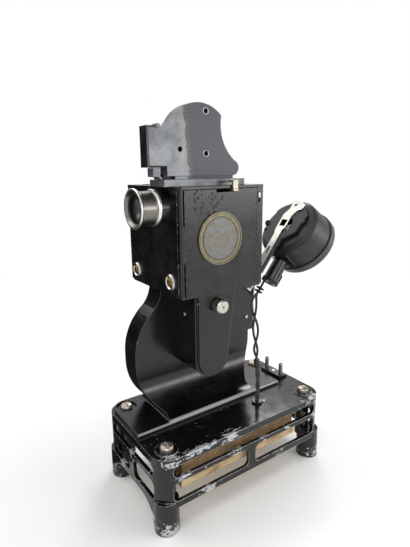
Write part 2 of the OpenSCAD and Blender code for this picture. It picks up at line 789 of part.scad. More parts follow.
// Tooth outline of a spur gear with a tooth on the X axis turned by a phase
module spur(teeth, phase) {
    pitch_r = gear_module * teeth / 2;
    tip = pitch_r + 0.55 * gear_module;
    root = pitch_r - 0.95 * gear_module;
    step = 360 / teeth;
    polygon([for (i = [0 : teeth - 1]) for (k = [[-0.27, root], [-0.12, tip], [0.12, tip], [0.27, root]])
        let (a = phase + step * (i + k[0])) [k[1] * cos(a), k[1] * sin(a)]]);
}

module crank_shaft() {
    color([0.6, 0.6, 0.62]) {
        translate([arm_x - 0.5, crank_y, crank_z]) rotate([0, 90, 0])
            cylinder(h = frame_x + frame_t + 2 - arm_x + 0.5, r = shaft_r);
        translate([frame_x - 3.3, crank_y, crank_z]) rotate([0, 90, 0]) cylinder(h = 3, r = shaft_r + 2);
    }
}

module drive_gear() {
    rim = gear_module * gear_teeth / 2;
    color([0.72, 0.6, 0.35]) translate([gear_x, crank_y, crank_z]) rotate([90, 0, 90]) difference() {
        union() {
            linear_extrude(gear_t) difference() {
                spur(gear_teeth, mesh_deg);
                for (i = [0 : 4]) rotate(72 * i) translate([rim * 0.55, 0]) circle(rim * 0.2);
            }
            translate([0, 0, gear_t - 0.5]) cylinder(h = 4, r = shaft_r + 3);
        }
        translate([0, 0, -1]) cylinder(h = gear_t + 8, r = shaft_r);
    }
}

module crank_arm() {
    color([0.78, 0.78, 0.76]) translate([arm_x, crank_y, crank_z]) rotate([90, 0, 90]) difference() {
        union() {
            linear_extrude(arm_t) {
                circle(6);
                polygon([[0, -5.2], [crank_reach, -3.8], [crank_reach, 3.8], [0, 5.2]]);
                translate([crank_reach, 0]) circle(4.6);
            }
            translate([0, 0, -1.2]) cylinder(h = 2, r = 4.4);
        }
        translate([0, 0, -2]) cylinder(h = arm_t + 4, r = shaft_r);
        translate([crank_reach, 0, -2]) cylinder(h = arm_t + 4, r = handle_pin_r);
    }
}

module handle_pin() {
    color([0.6, 0.6, 0.62]) translate([arm_x + arm_t, crank_y + crank_reach, crank_z]) rotate([0, -90, 0]) {
        cylinder(h = handle_l + arm_t + 1.2, r = handle_pin_r);
        translate([0, 0, handle_l + arm_t + 0.8]) cylinder(h = 1.2, r = 3.2);
    }
}

module crank_handle() {
    color([0.1, 0.09, 0.08]) translate([arm_x - 0.3, crank_y + crank_reach, crank_z]) rotate([0, -90, 0])
        rotate_extrude() polygon([[handle_pin_r + running, 0], [4.4, 0], [5, 1.2], [4.6, 4], [5.4, 9],
            [6.4, 16], [handle_r, 21], [6.1, 27], [5, handle_l - 2.5], [3.6, handle_l],
            [handle_pin_r + running, handle_l]]);
}

module shutter_shaft() {
    color([0.6, 0.6, 0.62]) {
        translate([case_x0, shutter_y, shutter_z]) rotate([0, 90, 0])
            cylinder(h = optic_x - 7.5 - case_x0, r = shaft_r);
        translate([optic_x + 6, shutter_y, shutter_z]) rotate([0, 90, 0])
            cylinder(h = bearing_x + bearing_t + 1 - optic_x - 6, r = shaft_r);
    }
}

module pinion() {
    color([0.6, 0.6, 0.62]) translate([gear_x - 0.5, shutter_y, shutter_z]) rotate([90, 0, 90]) difference() {
        linear_extrude(gear_t + 1) spur(pinion_teeth, mesh_deg + 180 + 180 / pinion_teeth);
        translate([0, 0, -1]) cylinder(h = gear_t + 4, r = shaft_r);
    }
}

module flywheel() {
    color([0.72, 0.6, 0.35]) translate([gear_x + gear_t + 4.2, shutter_y, shutter_z]) rotate([0, 90, 0])
        rotate_extrude() polygon([[shaft_r, 0], [5, 0], [5, 1], [9, 1], [9, 0], [11.5, 0], [11.5, 4], [9, 4],
            [9, 3], [5, 3], [5, 5], [shaft_r, 5]]);
}

// Drum that cuts the light twice in each turn, open across the light path
module barrel_shutter() {
    color([0.12, 0.12, 0.12]) translate([optic_x - 7.5, shutter_y, shutter_z]) rotate([90, 0, 90]) {
        difference() {
            cylinder(h = 13.5, r = 9);
            translate([0, 0, 1.5]) cylinder(h = 10.5, r = 8.2);
            for (s = [-1, 1]) translate([0, 0, 1.5]) linear_extrude(10.5)
                polygon([[s * 5, -3], [s * 20, -12], [s * 20, 12], [s * 5, 3]]);
        }
    }
}

module claw_cam() {
    color([0.6, 0.6, 0.62]) translate([cam_x, shutter_y, shutter_z]) rotate([90, 0, 90]) difference() {
        linear_extrude(cam_t) union() {
            circle(cam_r);
            translate([cam_throw, 0]) circle(cam_r);
        }
        translate([0, 0, -1]) cylinder(h = cam_t + 2, r = shaft_r);
    }
}

module claw() {
    color([0.66, 0.66, 0.68]) {
        translate([cam_x, 0, 0]) rotate([90, 0, 90]) linear_extrude(cam_t) difference() {
            union() {
                translate([shutter_y - 8.5, shutter_z - 9.8]) square([17, 19.6]);
                translate([shutter_y - 3, stem_z]) square([6, 20]);
            }
            translate([shutter_y - 6.4, shutter_z - claw_slot]) square([12.8, 2 * claw_slot]);
        }
        translate([cam_x + cam_t, shutter_y - 3, stem_z]) cube([optic_x + 0.6 - cam_x - cam_t, 6, 3]);
        translate([optic_x - 0.6, shutter_y + 3, stem_z + 1]) cube([1.2, case_y1 + 0.4 - shutter_y - 3, 1.5]);
    }
}

module magazine_base() {
    color([0.14, 0.14, 0.14]) difference() {
        translate([optic_x - 9, case_y - 7, case_top]) cube([20, 68, base_block_t]);
        translate([mag_x0 + 1.5, case_y1 - 20, case_top - 1]) cube([magazine_t - 3, 7, base_block_t + 2]);
    }
}

// Side outline of the film magazine: length along X, height along Y
module magazine_outline() {
    difference() {
        union() {
            translate([mag_y, mag_z]) circle(magazine_r, $fn = 128);
            translate([mag_y - 26.6, mag_low]) square([46.2, mag_z - mag_low]);
            translate([mag_front, mag_low + notch_z]) square([40, mag_head - notch_z]);
            polygon([[neck_cy, mag_low + mag_head - 1], [mag_y, mag_z],
                [neck_cy, mag_low + mag_head + neck_r]]);
            translate([mag_y, mag_low]) square([lobe_y - mag_y, 20]);
            translate([lobe_y, mag_low + lobe_r]) circle(lobe_r);
            polygon([[lobe_y, mag_low + lobe_r], [lobe_y, mag_low + 12.3], [lobe_y + 3.4, mag_low + 10.6]]);
        }
        translate([neck_cy, mag_low + mag_head + neck_r]) circle(neck_r, $fn = 96);
        translate([mag_y + 48, mag_low + 35.3]) circle(30, $fn = 128);
        translate([mag_front - 5, mag_low - 20]) square([110, 20]);
        translate([mag_front - 5, mag_low - 1]) square([case_y - 4.7 - mag_front + 5, notch_z + 1]);
        translate([mag_y + 19.6, mag_low + 40.5]) square([30, 30]);
    }
}

module magazine_holes() {
    translate([mag_y + 5.1, mag_low + 43.3]) circle(1.8);
    translate([mag_y + 5.1, mag_low + 15.2]) circle(1.8);
    translate([mag_y - 16.2, mag_low + 17.7]) circle(1.8);
}

module magazine_near_cheek() {
    color([0.2, 0.2, 0.2]) translate([mag_x1 - cheek_t, 0, 0]) rotate([90, 0, 90]) linear_extrude(cheek_t)
        difference() {
            magazine_outline();
            magazine_holes();
        }
}

module magazine_far_cheek() {
    color([0.2, 0.2, 0.2]) translate([mag_x0, 0, 0]) rotate([90, 0, 90]) linear_extrude(cheek_t)
        difference() {
            magazine_outline();
            magazine_holes();
        }
}

module magazine_rim() {
    color([0.16, 0.16, 0.16]) {
        translate([mag_x0 + cheek_t, 0, 0]) rotate([90, 0, 90]) linear_extrude(magazine_t - 2 * cheek_t)
            difference() {
                magazine_outline();
                translate([mag_y, mag_z]) circle(magazine_r - 5.6);
                translate([mag_front - 1, mag_low + notch_z + 1.6])
                    square([mag_y - mag_front, mag_head - notch_z - 3.2]);
                magazine_holes();
            }
        translate([mag_x0 + 1, mag_y - 20, case_top + base_block_t])
            cube([magazine_t - 2, 50, mag_low - case_top - base_block_t]);
        for (x = [mag_x0 + cheek_t, mag_x1 - cheek_t - 1.6]) translate([x, flap_y, flap_z])
            rotate([0, 90, 0]) cylinder(h = 1.6, r = 1.3);
        for (x = [mag_x0 + cheek_t, mag_x1 - cheek_t - 1.6])
            translate([x, flap_y - 1.3, flap_z - 1.8]) cube([1.6, 2.6, 1.8]);
        translate([mag_x0 + cheek_t, flap_y, flap_z]) rotate([0, 90, 0])
            cylinder(h = magazine_t - 2 * cheek_t, r = flap_pin_r);
    }
}

module magazine_door() {
    front = mag_front - gap - flap_t;
    top = mag_low + mag_head + gap;
    knuckle_l = magazine_t - 2 * cheek_t - 3.2 - 2 * gap;
    color([0.3, 0.3, 0.3]) difference() {
        union() {
            translate([mag_x0, front, mag_low + notch_z - 1])
                cube([magazine_t, flap_t, mag_head - notch_z + 2.2]);
            translate([mag_x0, front, top]) cube([magazine_t, flap_y - 1.8 - front, flap_t - 0.3]);
            translate([mag_x0 + magazine_t / 2 - knuckle_l / 2, front, top])
                cube([knuckle_l, flap_y - front, flap_t - 0.3]);
            translate([mag_x0 + magazine_t / 2 - knuckle_l / 2, flap_y, flap_z]) rotate([0, 90, 0])
                cylinder(h = knuckle_l, r = 1.3);
        }
        translate([mag_x0 - 1, flap_y, flap_z]) rotate([0, 90, 0])
            cylinder(h = magazine_t + 2, r = flap_pin_r + running);
    }
}

module swung() {
    translate([0, swing_y, swing_z]) rotate([-open_deg, 0, 0]) translate([0, -swing_y, -swing_z]) children();
}

module hinge_bracket() {
    color([0.3, 0.3, 0.31]) for (x = [ear_x0, ear_x0 + ear_span - ear_t])
        translate([x, 0, 0]) rotate([90, 0, 90]) linear_extrude(ear_t) difference() {
            polygon([[swing_y - 10, case_z], [swing_y - 10, case_z + 3], [swing_y + 3.6, case_z + 3],
                [swing_y + 3.6, swing_z - 3.4], [swing_y - 3, swing_z - 3.4], [swing_y - 4.2, case_z]]);
            translate([swing_y, swing_z]) circle(swing_pin_r);
        }
}

module hinge_pin() {
    color([0.6, 0.6, 0.62]) translate([ear_x0 - 0.2, swing_y, swing_z]) rotate([0, 90, 0])
        cylinder(h = ear_span + 0.4, r = swing_pin_r);
}

// Front outline of the nickel strip: width along X, height along Y
module strip_outline() {
    polygon([[strip_x0, swing_z - 2.6], [strip_x0 + strip_w, swing_z - 2.6],
        [strip_x0 + strip_w, swing_z + 8], [strip_right, swing_z + 18], [strip_right, optic_z - 7],
        [optic_x + 4.8, optic_z - 4.5], [optic_x + 4.8, optic_z + 8], [optic_x + 8, optic_z + 13.5],
        [optic_x + 11.4, optic_z + 14.5], [optic_x + 11.4, optic_z + 20], [optic_x + 7, optic_z + 23],
        [optic_x - 1.5, optic_z + 23], [optic_x - 1.5, optic_z + 14.5], [optic_x - 5, optic_z + 8],
        [optic_x - 5, optic_z - 6], [strip_x0, optic_z - 12]]);
}

module gate_strip() {
    color([0.84, 0.84, 0.82]) swung() difference() {
        union() {
            translate([0, strip_y + strip_t, 0]) rotate([90, 0, 0]) linear_extrude(strip_t) strip_outline();
            translate([strip_x0, swing_y, swing_z - 2.6]) cube([strip_w, strip_y - swing_y + 1, 1.4]);
            translate([strip_x0, swing_y, swing_z]) rotate([0, 90, 0]) cylinder(h = strip_w, r = swing_r);
        }
        translate([strip_x0 - 1, swing_y, swing_z]) rotate([0, 90, 0])
            cylinder(h = strip_w + 2, r = swing_pin_r + running);
        translate([optic_x - window_w / 2, strip_y - 1, optic_z - window_h / 2])
            cube([window_w, 4, window_h]);
        translate([optic_x - 0.8, strip_y - 1, claw_slot_z]) cube([1.6, 4, claw_slot_h]);
        translate([optic_x + 3, strip_y - 1, optic_z + 18.5]) rotate([-90, 0, 0]) cylinder(h = 4, r = 1.3);
    }
}

module lamp_flange() {
    color([0.09, 0.09, 0.1]) swung() translate([optic_x + 1, flange_y, optic_z - 1]) rotate([-90, 0, 0])
        difference() {
            union() {
                difference() {
                    intersection() {
                        cylinder(h = lamp_flange_t, r = 21.5, $fn = 128);
                        cube([34, 60, 10], center = true);
                    }
                    translate([0, 0, -1]) linear_extrude(lamp_flange_t + 2)
                        polygon([[5.2, 30], [5.2, 14], [15.4, 5.8], [16, -3], [30, -3], [30, 30]]);
                }
                translate([15.8, -6, 0]) cylinder(h = lamp_flange_t, r = 2.2);
                translate([-2, 10, 0]) cube([6, 37, lamp_flange_t]);
                translate([-17, 1, lamp_flange_t / 2]) rotate([0, -90, 0]) cylinder(h = 3, r = 1.6);
            }
            translate([0, 0, -1]) cylinder(h = 6, r = 8);
        }
}

module lamp_drum() {
    a = neck_y - case_y1;
    s = seam_y - case_y1;
    e = drum_end - case_y1;
    color([0.08, 0.08, 0.09]) swung() difference() {
        translate([optic_x + 0.5, case_y1, optic_z]) rotate([-90, 0, 0]) rotate_extrude($fn = 128)
            polygon([[13, a], [14.2, a], [14.2, a + 1.2], [17, a + 1.4], [21.5, a + 1.8], [24.6, a + 2.7],
                [26.2, a + 3.7], [drum_r, s - 0.3], [drum_r, s], [drum_r - 0.5, s + 0.2],
                [drum_r - 0.5, s + 0.6], [drum_r + 0.2, s + 0.9], [drum_end_r, e],
                [drum_end_r - drum_wall, e],
                [drum_r - drum_wall, s], [21, s - 0.8], [13, s - 1.5]]);
        translate([holder_x, holder_y, holder_z0]) cylinder(h = optic_z - holder_z0 - 12, r = holder_tube_r);
    }
}

module holder_tube() {
    color([0.1, 0.1, 0.11]) swung() translate([holder_x, holder_y, holder_z0]) difference() {
        union() {
            cylinder(h = 22, r = holder_tube_r);
            cylinder(h = 1.5, r = holder_tube_r + 0.8);
        }
        translate([0, 0, -1]) cylinder(h = 26, r = holder_tube_r - 1);
    }
}

module lamp_holder() {
    color([0.35, 0.33, 0.28]) swung() {
        translate([holder_x, holder_y, holder_z0 - 0.5]) cylinder(h = 20, r = holder_tube_r - 1 - running);
        translate([holder_x, holder_y, holder_z0 - 1.9]) cylinder(h = 1.4, r = holder_tube_r + 0.8);
        translate([stem_x, holder_y, holder_z0 - 13]) cylinder(h = 12, r = 1);
        for (z = [9.5, 12.5]) translate([stem_x, holder_y, holder_z0 - z]) cylinder(h = 0.8, r = 3.6);
    }
}

module bulb() {
    color([0.9, 0.9, 0.86, 0.5]) swung() translate([holder_x, holder_y, holder_z0 + 19.5])
        rotate_extrude() polygon(concat([[0, 0], [bulb_r - 1.2, 0], [bulb_r - 1.2, 9], [bulb_r, 11]],
            [for (a = [0 : 15 : 90]) [bulb_r * cos(a), 25 + bulb_r * sin(a)]]));
}

module condenser() {
    color([0.7, 0.78, 0.8, 0.5]) swung() translate([optic_x + 0.5, neck_y + 2.2, optic_z]) rotate([90, 0, 0])
        lens_disc(13, 1, 1.1);
}

module reflector() {
    color([0.85, 0.85, 0.86]) swung() translate([optic_x + 0.5, cap_y, optic_z]) rotate([-90, 0, 0])
        rotate_extrude() polygon([[0, 4.5], [8, 4], [15, 2.6], [21, 0.3], [21, 1.2], [15, 3.6], [8, 5],
            [3, 5.4], [3, cap_l - 1.2], [0, cap_l - 1.2]]);
}

module rear_cap() {
    color([0.1, 0.1, 0.11]) swung() translate([optic_x + 0.5, cap_y, optic_z]) rotate([-90, 0, 0])
        rotate_extrude($fn = 128) polygon([[spigot_r - 1, -spigot_l], [spigot_r, -spigot_l], [spigot_r, 0],
            [cap_r, 0], [cap_r, cap_l - 2.4], [cap_r - 0.8, cap_l - 0.8], [cap_r - 2.6, cap_l], [0, cap_l],
            [0, cap_l - 1.2], [cap_r - 3, cap_l - 1.2], [cap_r - 1, cap_l - 3], [cap_r - 1, 1],
            [spigot_r - 1, 1]]);
}

// Route of the two-wire cord from the lamp holder's contact to the base
cord_points = [[9, 37.3, 155.9], [9, 34.8, 152.8], [9.6, 32.6, 148], [10.6, 31.6, 142], [11.6, 31.4, 136],
    [12.8, 31.4, 129], [14, 31, 122], [15, 30.2, 115], [16, 29.6, 108], [17.2, 29.4, 101], [18.6, 29.2, 94],
    [20.2, 28.6, 87], [21.8, 27.6, 80], [23, 26.4, 73], [23.5, 25.7, 67], [23.5, 25.5, 63.3]];
cord_r = 1.8;

function unit(v) = v / norm(v);
function ring(p, t, r) = let (u = unit(cross(t, [1, 0, 0])), w = cross(t, u))
    [for (k = [0 : 7]) p + r * (cos(45 * k) * u + sin(45 * k) * w)];

module lamp_cord() {
    n = len(cord_points);
    rings = [for (i = [0 : n - 1]) ring(cord_points[i],
        unit(cord_points[min(i + 1, n - 1)] - cord_points[max(i - 1, 0)]), cord_r)];
    pts = [for (r = rings) each r];
    sides = [for (i = [0 : n - 2]) for (k = [0 : 7]) let (a = 8 * i + k, b = 8 * i + (k + 1) % 8)
        each [[a, a + 8, b], [b, a + 8, b + 8]]];
    caps = [for (k = [1 : 6]) each [[0, k, k + 1], [8 * (n - 1), 8 * (n - 1) + k + 1, 8 * (n - 1) + k]]];
    color([0.07, 0.07, 0.07]) polyhedron(pts, concat(sides, caps));
}

base_casting();
corner_screws();
resistor_former();
resistor_mat();
pin_plinth();
mains_pins();
cord_bush();
pillar();
rear_bracket();
bracket_pin();
chamber_body();
chamber_cover();
thumbscrew();
case_floor();
case_front();
case_back();
case_side();
case_lid();
side_door();
door_pin();
door_latch();
medallion();
screw_cups();
screw_domes();
framing_lever();
lens_tube();
lens_barrel();
front_glass();
rear_glass();
film_gate();
mechanism_frame();
shaft_bushes();
crank_shaft();
drive_gear();
crank_arm();
handle_pin();
crank_handle();
shutter_shaft();
pinion();
flywheel();
barrel_shutter();
claw_cam();
claw();
magazine_base();
magazine_near_cheek();
magazine_far_cheek();
magazine_rim();
magazine_door();
hinge_bracket();
hinge_pin();
gate_strip();
lamp_flange();
lamp_drum();
holder_tube();
lamp_holder();
bulb();
condenser();
reflector();
rear_cap();
lamp_cord();
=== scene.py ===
"""A small hand-cranked home projector for narrow film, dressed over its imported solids.

Everything is in metres in the frame of the solids: the ground is z = 0, the lens looks
along -Y, the side door with its medallion faces +X and the crank is on the -X side.
Sizes are written in millimetres and turned to metres once, where a mesh is made.
"""

from __future__ import annotations

import json
import logging
import math
from dataclasses import dataclass
from enum import Enum

import bmesh
import bpy
import numpy as np
from mathutils import Matrix, Vector

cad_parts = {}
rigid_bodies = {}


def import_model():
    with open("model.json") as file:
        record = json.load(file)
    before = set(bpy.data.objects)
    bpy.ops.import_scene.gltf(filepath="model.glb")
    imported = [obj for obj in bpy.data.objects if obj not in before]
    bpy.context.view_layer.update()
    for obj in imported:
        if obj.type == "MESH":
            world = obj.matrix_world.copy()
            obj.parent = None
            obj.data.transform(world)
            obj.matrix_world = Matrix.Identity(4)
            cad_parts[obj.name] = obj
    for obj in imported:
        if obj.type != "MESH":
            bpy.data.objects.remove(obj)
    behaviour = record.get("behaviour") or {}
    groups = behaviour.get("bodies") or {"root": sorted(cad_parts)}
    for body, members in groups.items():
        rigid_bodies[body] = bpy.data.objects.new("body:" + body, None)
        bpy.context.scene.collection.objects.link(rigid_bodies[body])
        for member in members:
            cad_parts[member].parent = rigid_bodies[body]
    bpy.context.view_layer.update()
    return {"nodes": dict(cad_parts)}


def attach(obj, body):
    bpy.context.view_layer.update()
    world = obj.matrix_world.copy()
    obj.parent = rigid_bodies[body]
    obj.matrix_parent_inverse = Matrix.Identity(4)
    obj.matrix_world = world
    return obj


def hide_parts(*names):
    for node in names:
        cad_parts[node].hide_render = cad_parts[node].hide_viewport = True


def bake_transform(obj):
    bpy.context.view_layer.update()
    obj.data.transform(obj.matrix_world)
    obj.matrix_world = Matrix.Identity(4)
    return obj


MM = 0.001
OPEN_DEG = 38.8
HINGE_YZ = (13.5, 170.2)
LOG = logging.getLogger("projector")

Point = tuple[float, float, float]
Socket = bpy.types.NodeSocket
Feed = float | str | tuple[float, ...] | Socket


class Body(Enum):
    """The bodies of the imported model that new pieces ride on."""

    STAND = "stand"
    FOCUS = "focus"
    LAMP_HOUSE = "lamp_house"
    LAMP = "lamp"


class Shading(Enum):
    """How a piece's faces are shaded."""

    SMOOTH = True
    FLAT = False


# Node materials


def linear(colour: str) -> tuple[float, float, float, float]:
    """Turns an sRGB hex colour into linear light.

    Args:
        colour: Six hex digits after a hash, as a paint chart gives them.

    Returns:
        Red, green, blue and an alpha of 1, each from 0 to 1.
    """
    parts = [int(colour[i : i + 2], 16) / 255 for i in (1, 3, 5)]
    light = [p / 12.92 if p <= 0.04045 else ((p + 0.055) / 1.055) ** 2.4 for p in parts]
    return (light[0], light[1], light[2], 1.0)


def add(tree: bpy.types.NodeTree, kind: str, *first: Feed, **rest: Feed) -> Socket | None:
    """Adds one node, with its settings and its links.

    Args:
        tree: The node tree to add it to.
        kind: The node's type, without the words ShaderNode, and its operation after a dot.
        *first: Values or outputs for the inputs in use, in their order. A MapRange takes its
            value, where that starts and ends, and what it gives at the start and the end.
        **rest: Settings of the node in small letters, and values or outputs for inputs by
            their names, which have a capital, with an underscore for each blank.

    Returns:
        Its first output in use, or None where it has no output.
    """
    kind, _, operation = kind.partition(".")
    node = tree.nodes.new("ShaderNode" + kind)
    if operation:
        node.operation = operation
    for key, value in rest.items():
        if key.islower():
            setattr(node, key, value)
    feeds = list(zip([entry for entry in node.inputs if entry.enabled], first))
    named = [key for key in rest if not key.islower()]
    feeds += [(node.inputs[key.replace("_", " ")], rest[key]) for key in named]
    for entry, value in feeds:
        if isinstance(value, Socket):
            tree.links.new(value, entry)
        else:
            entry.default_value = value
    return next((outlet for outlet in node.outputs if outlet.enabled), None)


def seen_rays(tree: bpy.types.NodeTree) -> Socket:
    """Finds the rays that show a thing directly, in a reflection or through glass.

    Args:
        tree: The node tree of the thing.

    Returns:
        1 on those rays and 0 on all others.
    """
    rays = add(tree, "LightPath").node.outputs
    direct = add(tree, "Math.MAXIMUM", rays["Is Camera Ray"], rays["Is Glossy Ray"])
    return add(tree, "Math.MAXIMUM", direct, rays["Is Transmission Ray"])


@dataclass
class Bench:
    """A material being mixed: its tree and the place in millimetres."""

    material: bpy.types.Material
    tree: bpy.types.NodeTree
    place: Socket

    @classmethod
    def clear(cls, name: str) -> "Bench":
        """Starts an empty material.

        Args:
            name: What the finish is called.

        Returns:
            The bench with the empty material on it.
        """
        material = bpy.data.materials.new(name)
        material.use_nodes = True
        tree = material.node_tree
        tree.nodes.clear()
        coordinates = add(tree, "TexCoord").node.outputs["Object"]
        return cls(material, tree, add(tree, "VectorMath.SCALE", coordinates, 1000.0))

    def edges(self, reach: float) -> tuple[Socket, Socket]:
        """Finds the object's edges, which a hand or a cloth rubs first.

        Args:
            reach: How far from an edge it still counts, in millimetres.

        Returns:
            A mask from 0 on the flats to 1 on an edge, and the eased normal, which turns
            softly over each edge as a real one does. The mask starts where the product of
            the eased and the true normal is 0.985, and is full where it is 0.82.
        """
        eased = add(self.tree, "Bevel", reach * MM, samples=6)
        true = add(self.tree, "NewGeometry").node.outputs["True Normal"]
        along = add(self.tree, "VectorMath.DOT_PRODUCT", eased, true)
        return add(self.tree, "MapRange", along, 0.985, 0.82), eased

    def coats(self, ground: str, *over: tuple[Socket, str | Socket]) -> Socket:
        """Lays coats of colour one over the other.

        Args:
            ground: The colour under them all.
            *over: For each coat, the mask that says where it lies and its colour.

        Returns:
            The colour that shows.
        """
        shown = linear(ground)
        for mask, coat in over:
            colour = linear(coat) if isinstance(coat, str) else coat
            shown = add(self.tree, "Mix", mask, shown, colour, data_type="RGBA")
        return shown

    def cover(self, colour: Feed, relief: tuple[Socket, float, float] | None = None,
              eased: Socket | None = None, **sockets: Feed) -> Socket:
        """Lays the surface itself over the object.

        Args:
            colour: Its colour, as a value or an output.
            relief: What raises it, if anything, how strongly, and by how many millimetres.
            eased: The normal with its edges eased, where the relief stands on that.
            **sockets: Other inputs of the surface, an underscore standing for each blank.

        Returns:
            The surface's output.
        """
        if relief:
            under = {"Normal": eased} if eased else {}
            height, strength, depth = relief
            sockets["Normal"] = add(self.tree, "Bump", Height=height, Strength=strength,
                                    Distance=depth * MM, **under)
        surface = add(self.tree, "BsdfPrincipled", Base_Color=colour, **sockets)
        add(self.tree, "OutputMaterial", surface)
        return surface


@dataclass(frozen=True)
class Finish:
    """A finish that is mixed into one material.

    Its name says what it is. Where a noise or a pattern has a scale of 1 / n, its features
    are about n millimetres wide.
    """

    name: str

    def mix(self, b: Bench) -> None:
        """Mixes the finish.

        Args:
            b: The empty bench to mix it on.
        """
        raise NotImplementedError

    def build(self) -> bpy.types.Material:
        """Mixes the finish.

        Returns:
            Its material.
        """
        b = Bench.clear(self.name)
        self.mix(b)
        return b.material


@dataclass(frozen=True)
class StovedEnamel(Finish):
    """Black enamel stoved on a light-alloy casting: a thick glossy skin that flows round
    the edges, a fine orange peel, and chips that show the bright bare metal. Its edges
    are painted lighter, partly wear and partly painted highlight, and past lip_highlight_x a
    pale band is a painted highlight along the pillar foot's lip.

    Each knock is a place and a reach in millimetres inside which the enamel flakes, and it
    reaches twice as far along the casting as across it.
    """

    name: str = "stoved black enamel on cast alloy"
    enamel: str = "#0a0a0b"
    haze: str = "#151516"
    # edge coat: partly wear, partly painted highlight
    edge_wear_and_highlight: str = "#45464a"
    # painted highlight: the pale colour of the band along the pillar foot's lip
    lip_highlight: str = "#a4a5a8"
    bare: str = "#bcbec1"
    roughness: float = 0.1
    ior: float = 1.5
    wear: float = 0.0
    foot_wear: float = 0.0
    side_wear: float = 0.0
    side_x: float = 46.0
    lip_highlight_x: float = 1000.0
    chip_mm: float = 2.8
    peel_mm: float = 4.0
    knocks: tuple[tuple[float, float, float, float], ...] = ()

    def mix(self, b: Bench) -> None:
        """Mixes the enamel, its chips and the bare alloy under them.

        Args:
            b: The empty bench to mix it on.
        """
        t = b.tree
        edge, eased = b.edges(0.8)
        squeezed = add(t, "VectorMath.MULTIPLY", b.place, (1.0, 0.5, 1.0))
        flakes = add(t, "TexNoise", Vector=squeezed, Scale=1 / self.chip_mm, Detail=9.0,
                     Roughness=0.72)
        chips = add(t, "Math.MULTIPLY_ADD", flakes, 1.6, -0.3)
        wide = add(t, "TexNoise", Vector=b.place, Scale=1 / 30.0, Detail=2.0)
        axes = add(t, "SeparateXYZ", b.place).node.outputs
        near = add(t, "MapRange", axes["Z"], 20.0, 2.0, 0.0, self.foot_wear)
        for x, y, z, reach in self.knocks:
            away = add(t, "VectorMath.DISTANCE", squeezed, (x, 0.5 * y, z))
            knock = add(t, "MapRange", away, reach, reach * 0.3, 0.0, 0.27)
            near = add(t, "Math.MAXIMUM", near, knock)
        side = add(t, "MapRange", axes["X"], self.side_x - 4, self.side_x, 0.2, 0.2 + self.side_wear)
        rim = add(t, "Math.MULTIPLY_ADD", edge, side, chips)
        spread = add(t, "Math.MULTIPLY_ADD", wide, 0.5, rim)
        total = add(t, "Math.ADD", spread, near)
        start = 1.12 - self.wear
        gone = add(t, "MapRange", total, start, start + 0.015)
        cloud = add(t, "TexNoise", Vector=b.place, Scale=1 / 9.0, Detail=5.0, Roughness=0.7)
        hazy = add(t, "MapRange", cloud, 0.48, 0.72)
        # Painted highlight: a pale band past lip_highlight_x on the foot's lip, where a lamp's glint
        # falls.
        lip_highlight = add(t, "MapRange", axes["X"], self.lip_highlight_x, self.lip_highlight_x + 1.6, 0.0, 0.9)
        # The edge coat is partly wear and partly painted highlight.
        colour = b.coats(self.enamel, (hazy, self.haze), (edge, self.edge_wear_and_highlight), (lip_highlight, self.lip_highlight),
                         (gone, self.bare))
        gloss = add(t, "MapRange", cloud, 0.3, 0.8, self.roughness, self.roughness + 0.14)
        rough = add(t, "Mix", gone, gloss, 0.45, data_type="FLOAT")
        metal = add(t, "Math.MULTIPLY", gone, 0.6)
        peel = add(t, "TexNoise", Vector=b.place, Scale=1 / self.peel_mm, Detail=1.0)
        raised = add(t, "Math.MULTIPLY_ADD", gone, -1.6, peel)
        b.cover(colour, (raised, 0.2, 0.05), eased, Roughness=rough, Metallic=metal, IOR=self.ior)


@dataclass(frozen=True)
class EnamelledSheet(Finish):
    """Black enamel brushed and stoved on thin sheet steel: semi-gloss, faintly uneven, with
    small blisters where the lamp's heat has lifted it, and edges worn to grey steel."""

    name: str = "black enamel on sheet steel"
    enamel: str = "#0c0c0d"
    haze: str = "#1f1e1d"
    steel: str = "#a2a4a6"
    roughness: float = 0.24
    ior: float = 1.5
    blister_at: Point = (32.0, -31.0, 236.0)
    blister_mm: float = 20.0
    bare_from_y: float = 1000.0

    def mix(self, b: Bench) -> None:
        """Mixes the sheet's enamel with its haze, blisters and rubbed edges.

        Args:
            b: The empty bench to mix it on.
        """
        t = b.tree
        edge, eased = b.edges(0.5)
        cloud = add(t, "TexNoise", Vector=b.place, Scale=1 / 16.0, Detail=6.0, Roughness=0.65)
        hazy = add(t, "MapRange", cloud, 0.42, 0.78)
        fleck = add(t, "TexNoise", Vector=b.place, Scale=1 / 1.7, Detail=5.0, Roughness=0.7)
        worn = add(t, "Math.MULTIPLY_ADD", edge, 0.3, fleck)
        edge_wear_and_highlight = add(t, "MapRange", worn, 0.78, 0.86)
        along = add(t, "SeparateXYZ", b.place).node.outputs["Y"]
        unpainted = add(t, "Math.GREATER_THAN", along, self.bare_from_y)
        bare = add(t, "Math.MAXIMUM", edge_wear_and_highlight, unpainted)
        rough = add(t, "MapRange", cloud, 0.3, 0.8, self.roughness - 0.04, self.roughness + 0.16)
        away = add(t, "VectorMath.DISTANCE", b.place, self.blister_at)
        zone = add(t, "MapRange", away, self.blister_mm, 3.0)
        cells = add(t, "TexVoronoi", Vector=b.place, Scale=1 / 2.3, Randomness=1.0)
        dome = add(t, "MapRange", cells, 0.45, 0.1)
        some = add(t, "SeparateColor", cells.node.outputs["Color"])
        kept = add(t, "Math.MULTIPLY", some, zone)
        lifted = add(t, "MapRange", kept, 0.27, 0.4)
        blister = add(t, "Math.MULTIPLY", dome, lifted)
        brush = add(t, "TexNoise", Vector=b.place, Scale=1 / 2.2, Detail=3.0)
        relief = add(t, "Math.MULTIPLY_ADD", blister, 11.0, brush)
        metal = add(t, "Math.MULTIPLY", bare, 0.7)
        colour = b.coats(self.enamel, (hazy, self.haze), (bare, self.steel))
        b.cover(colour, (relief, 0.6, 0.06), eased, Roughness=rough, Metallic=metal, IOR=self.ior)


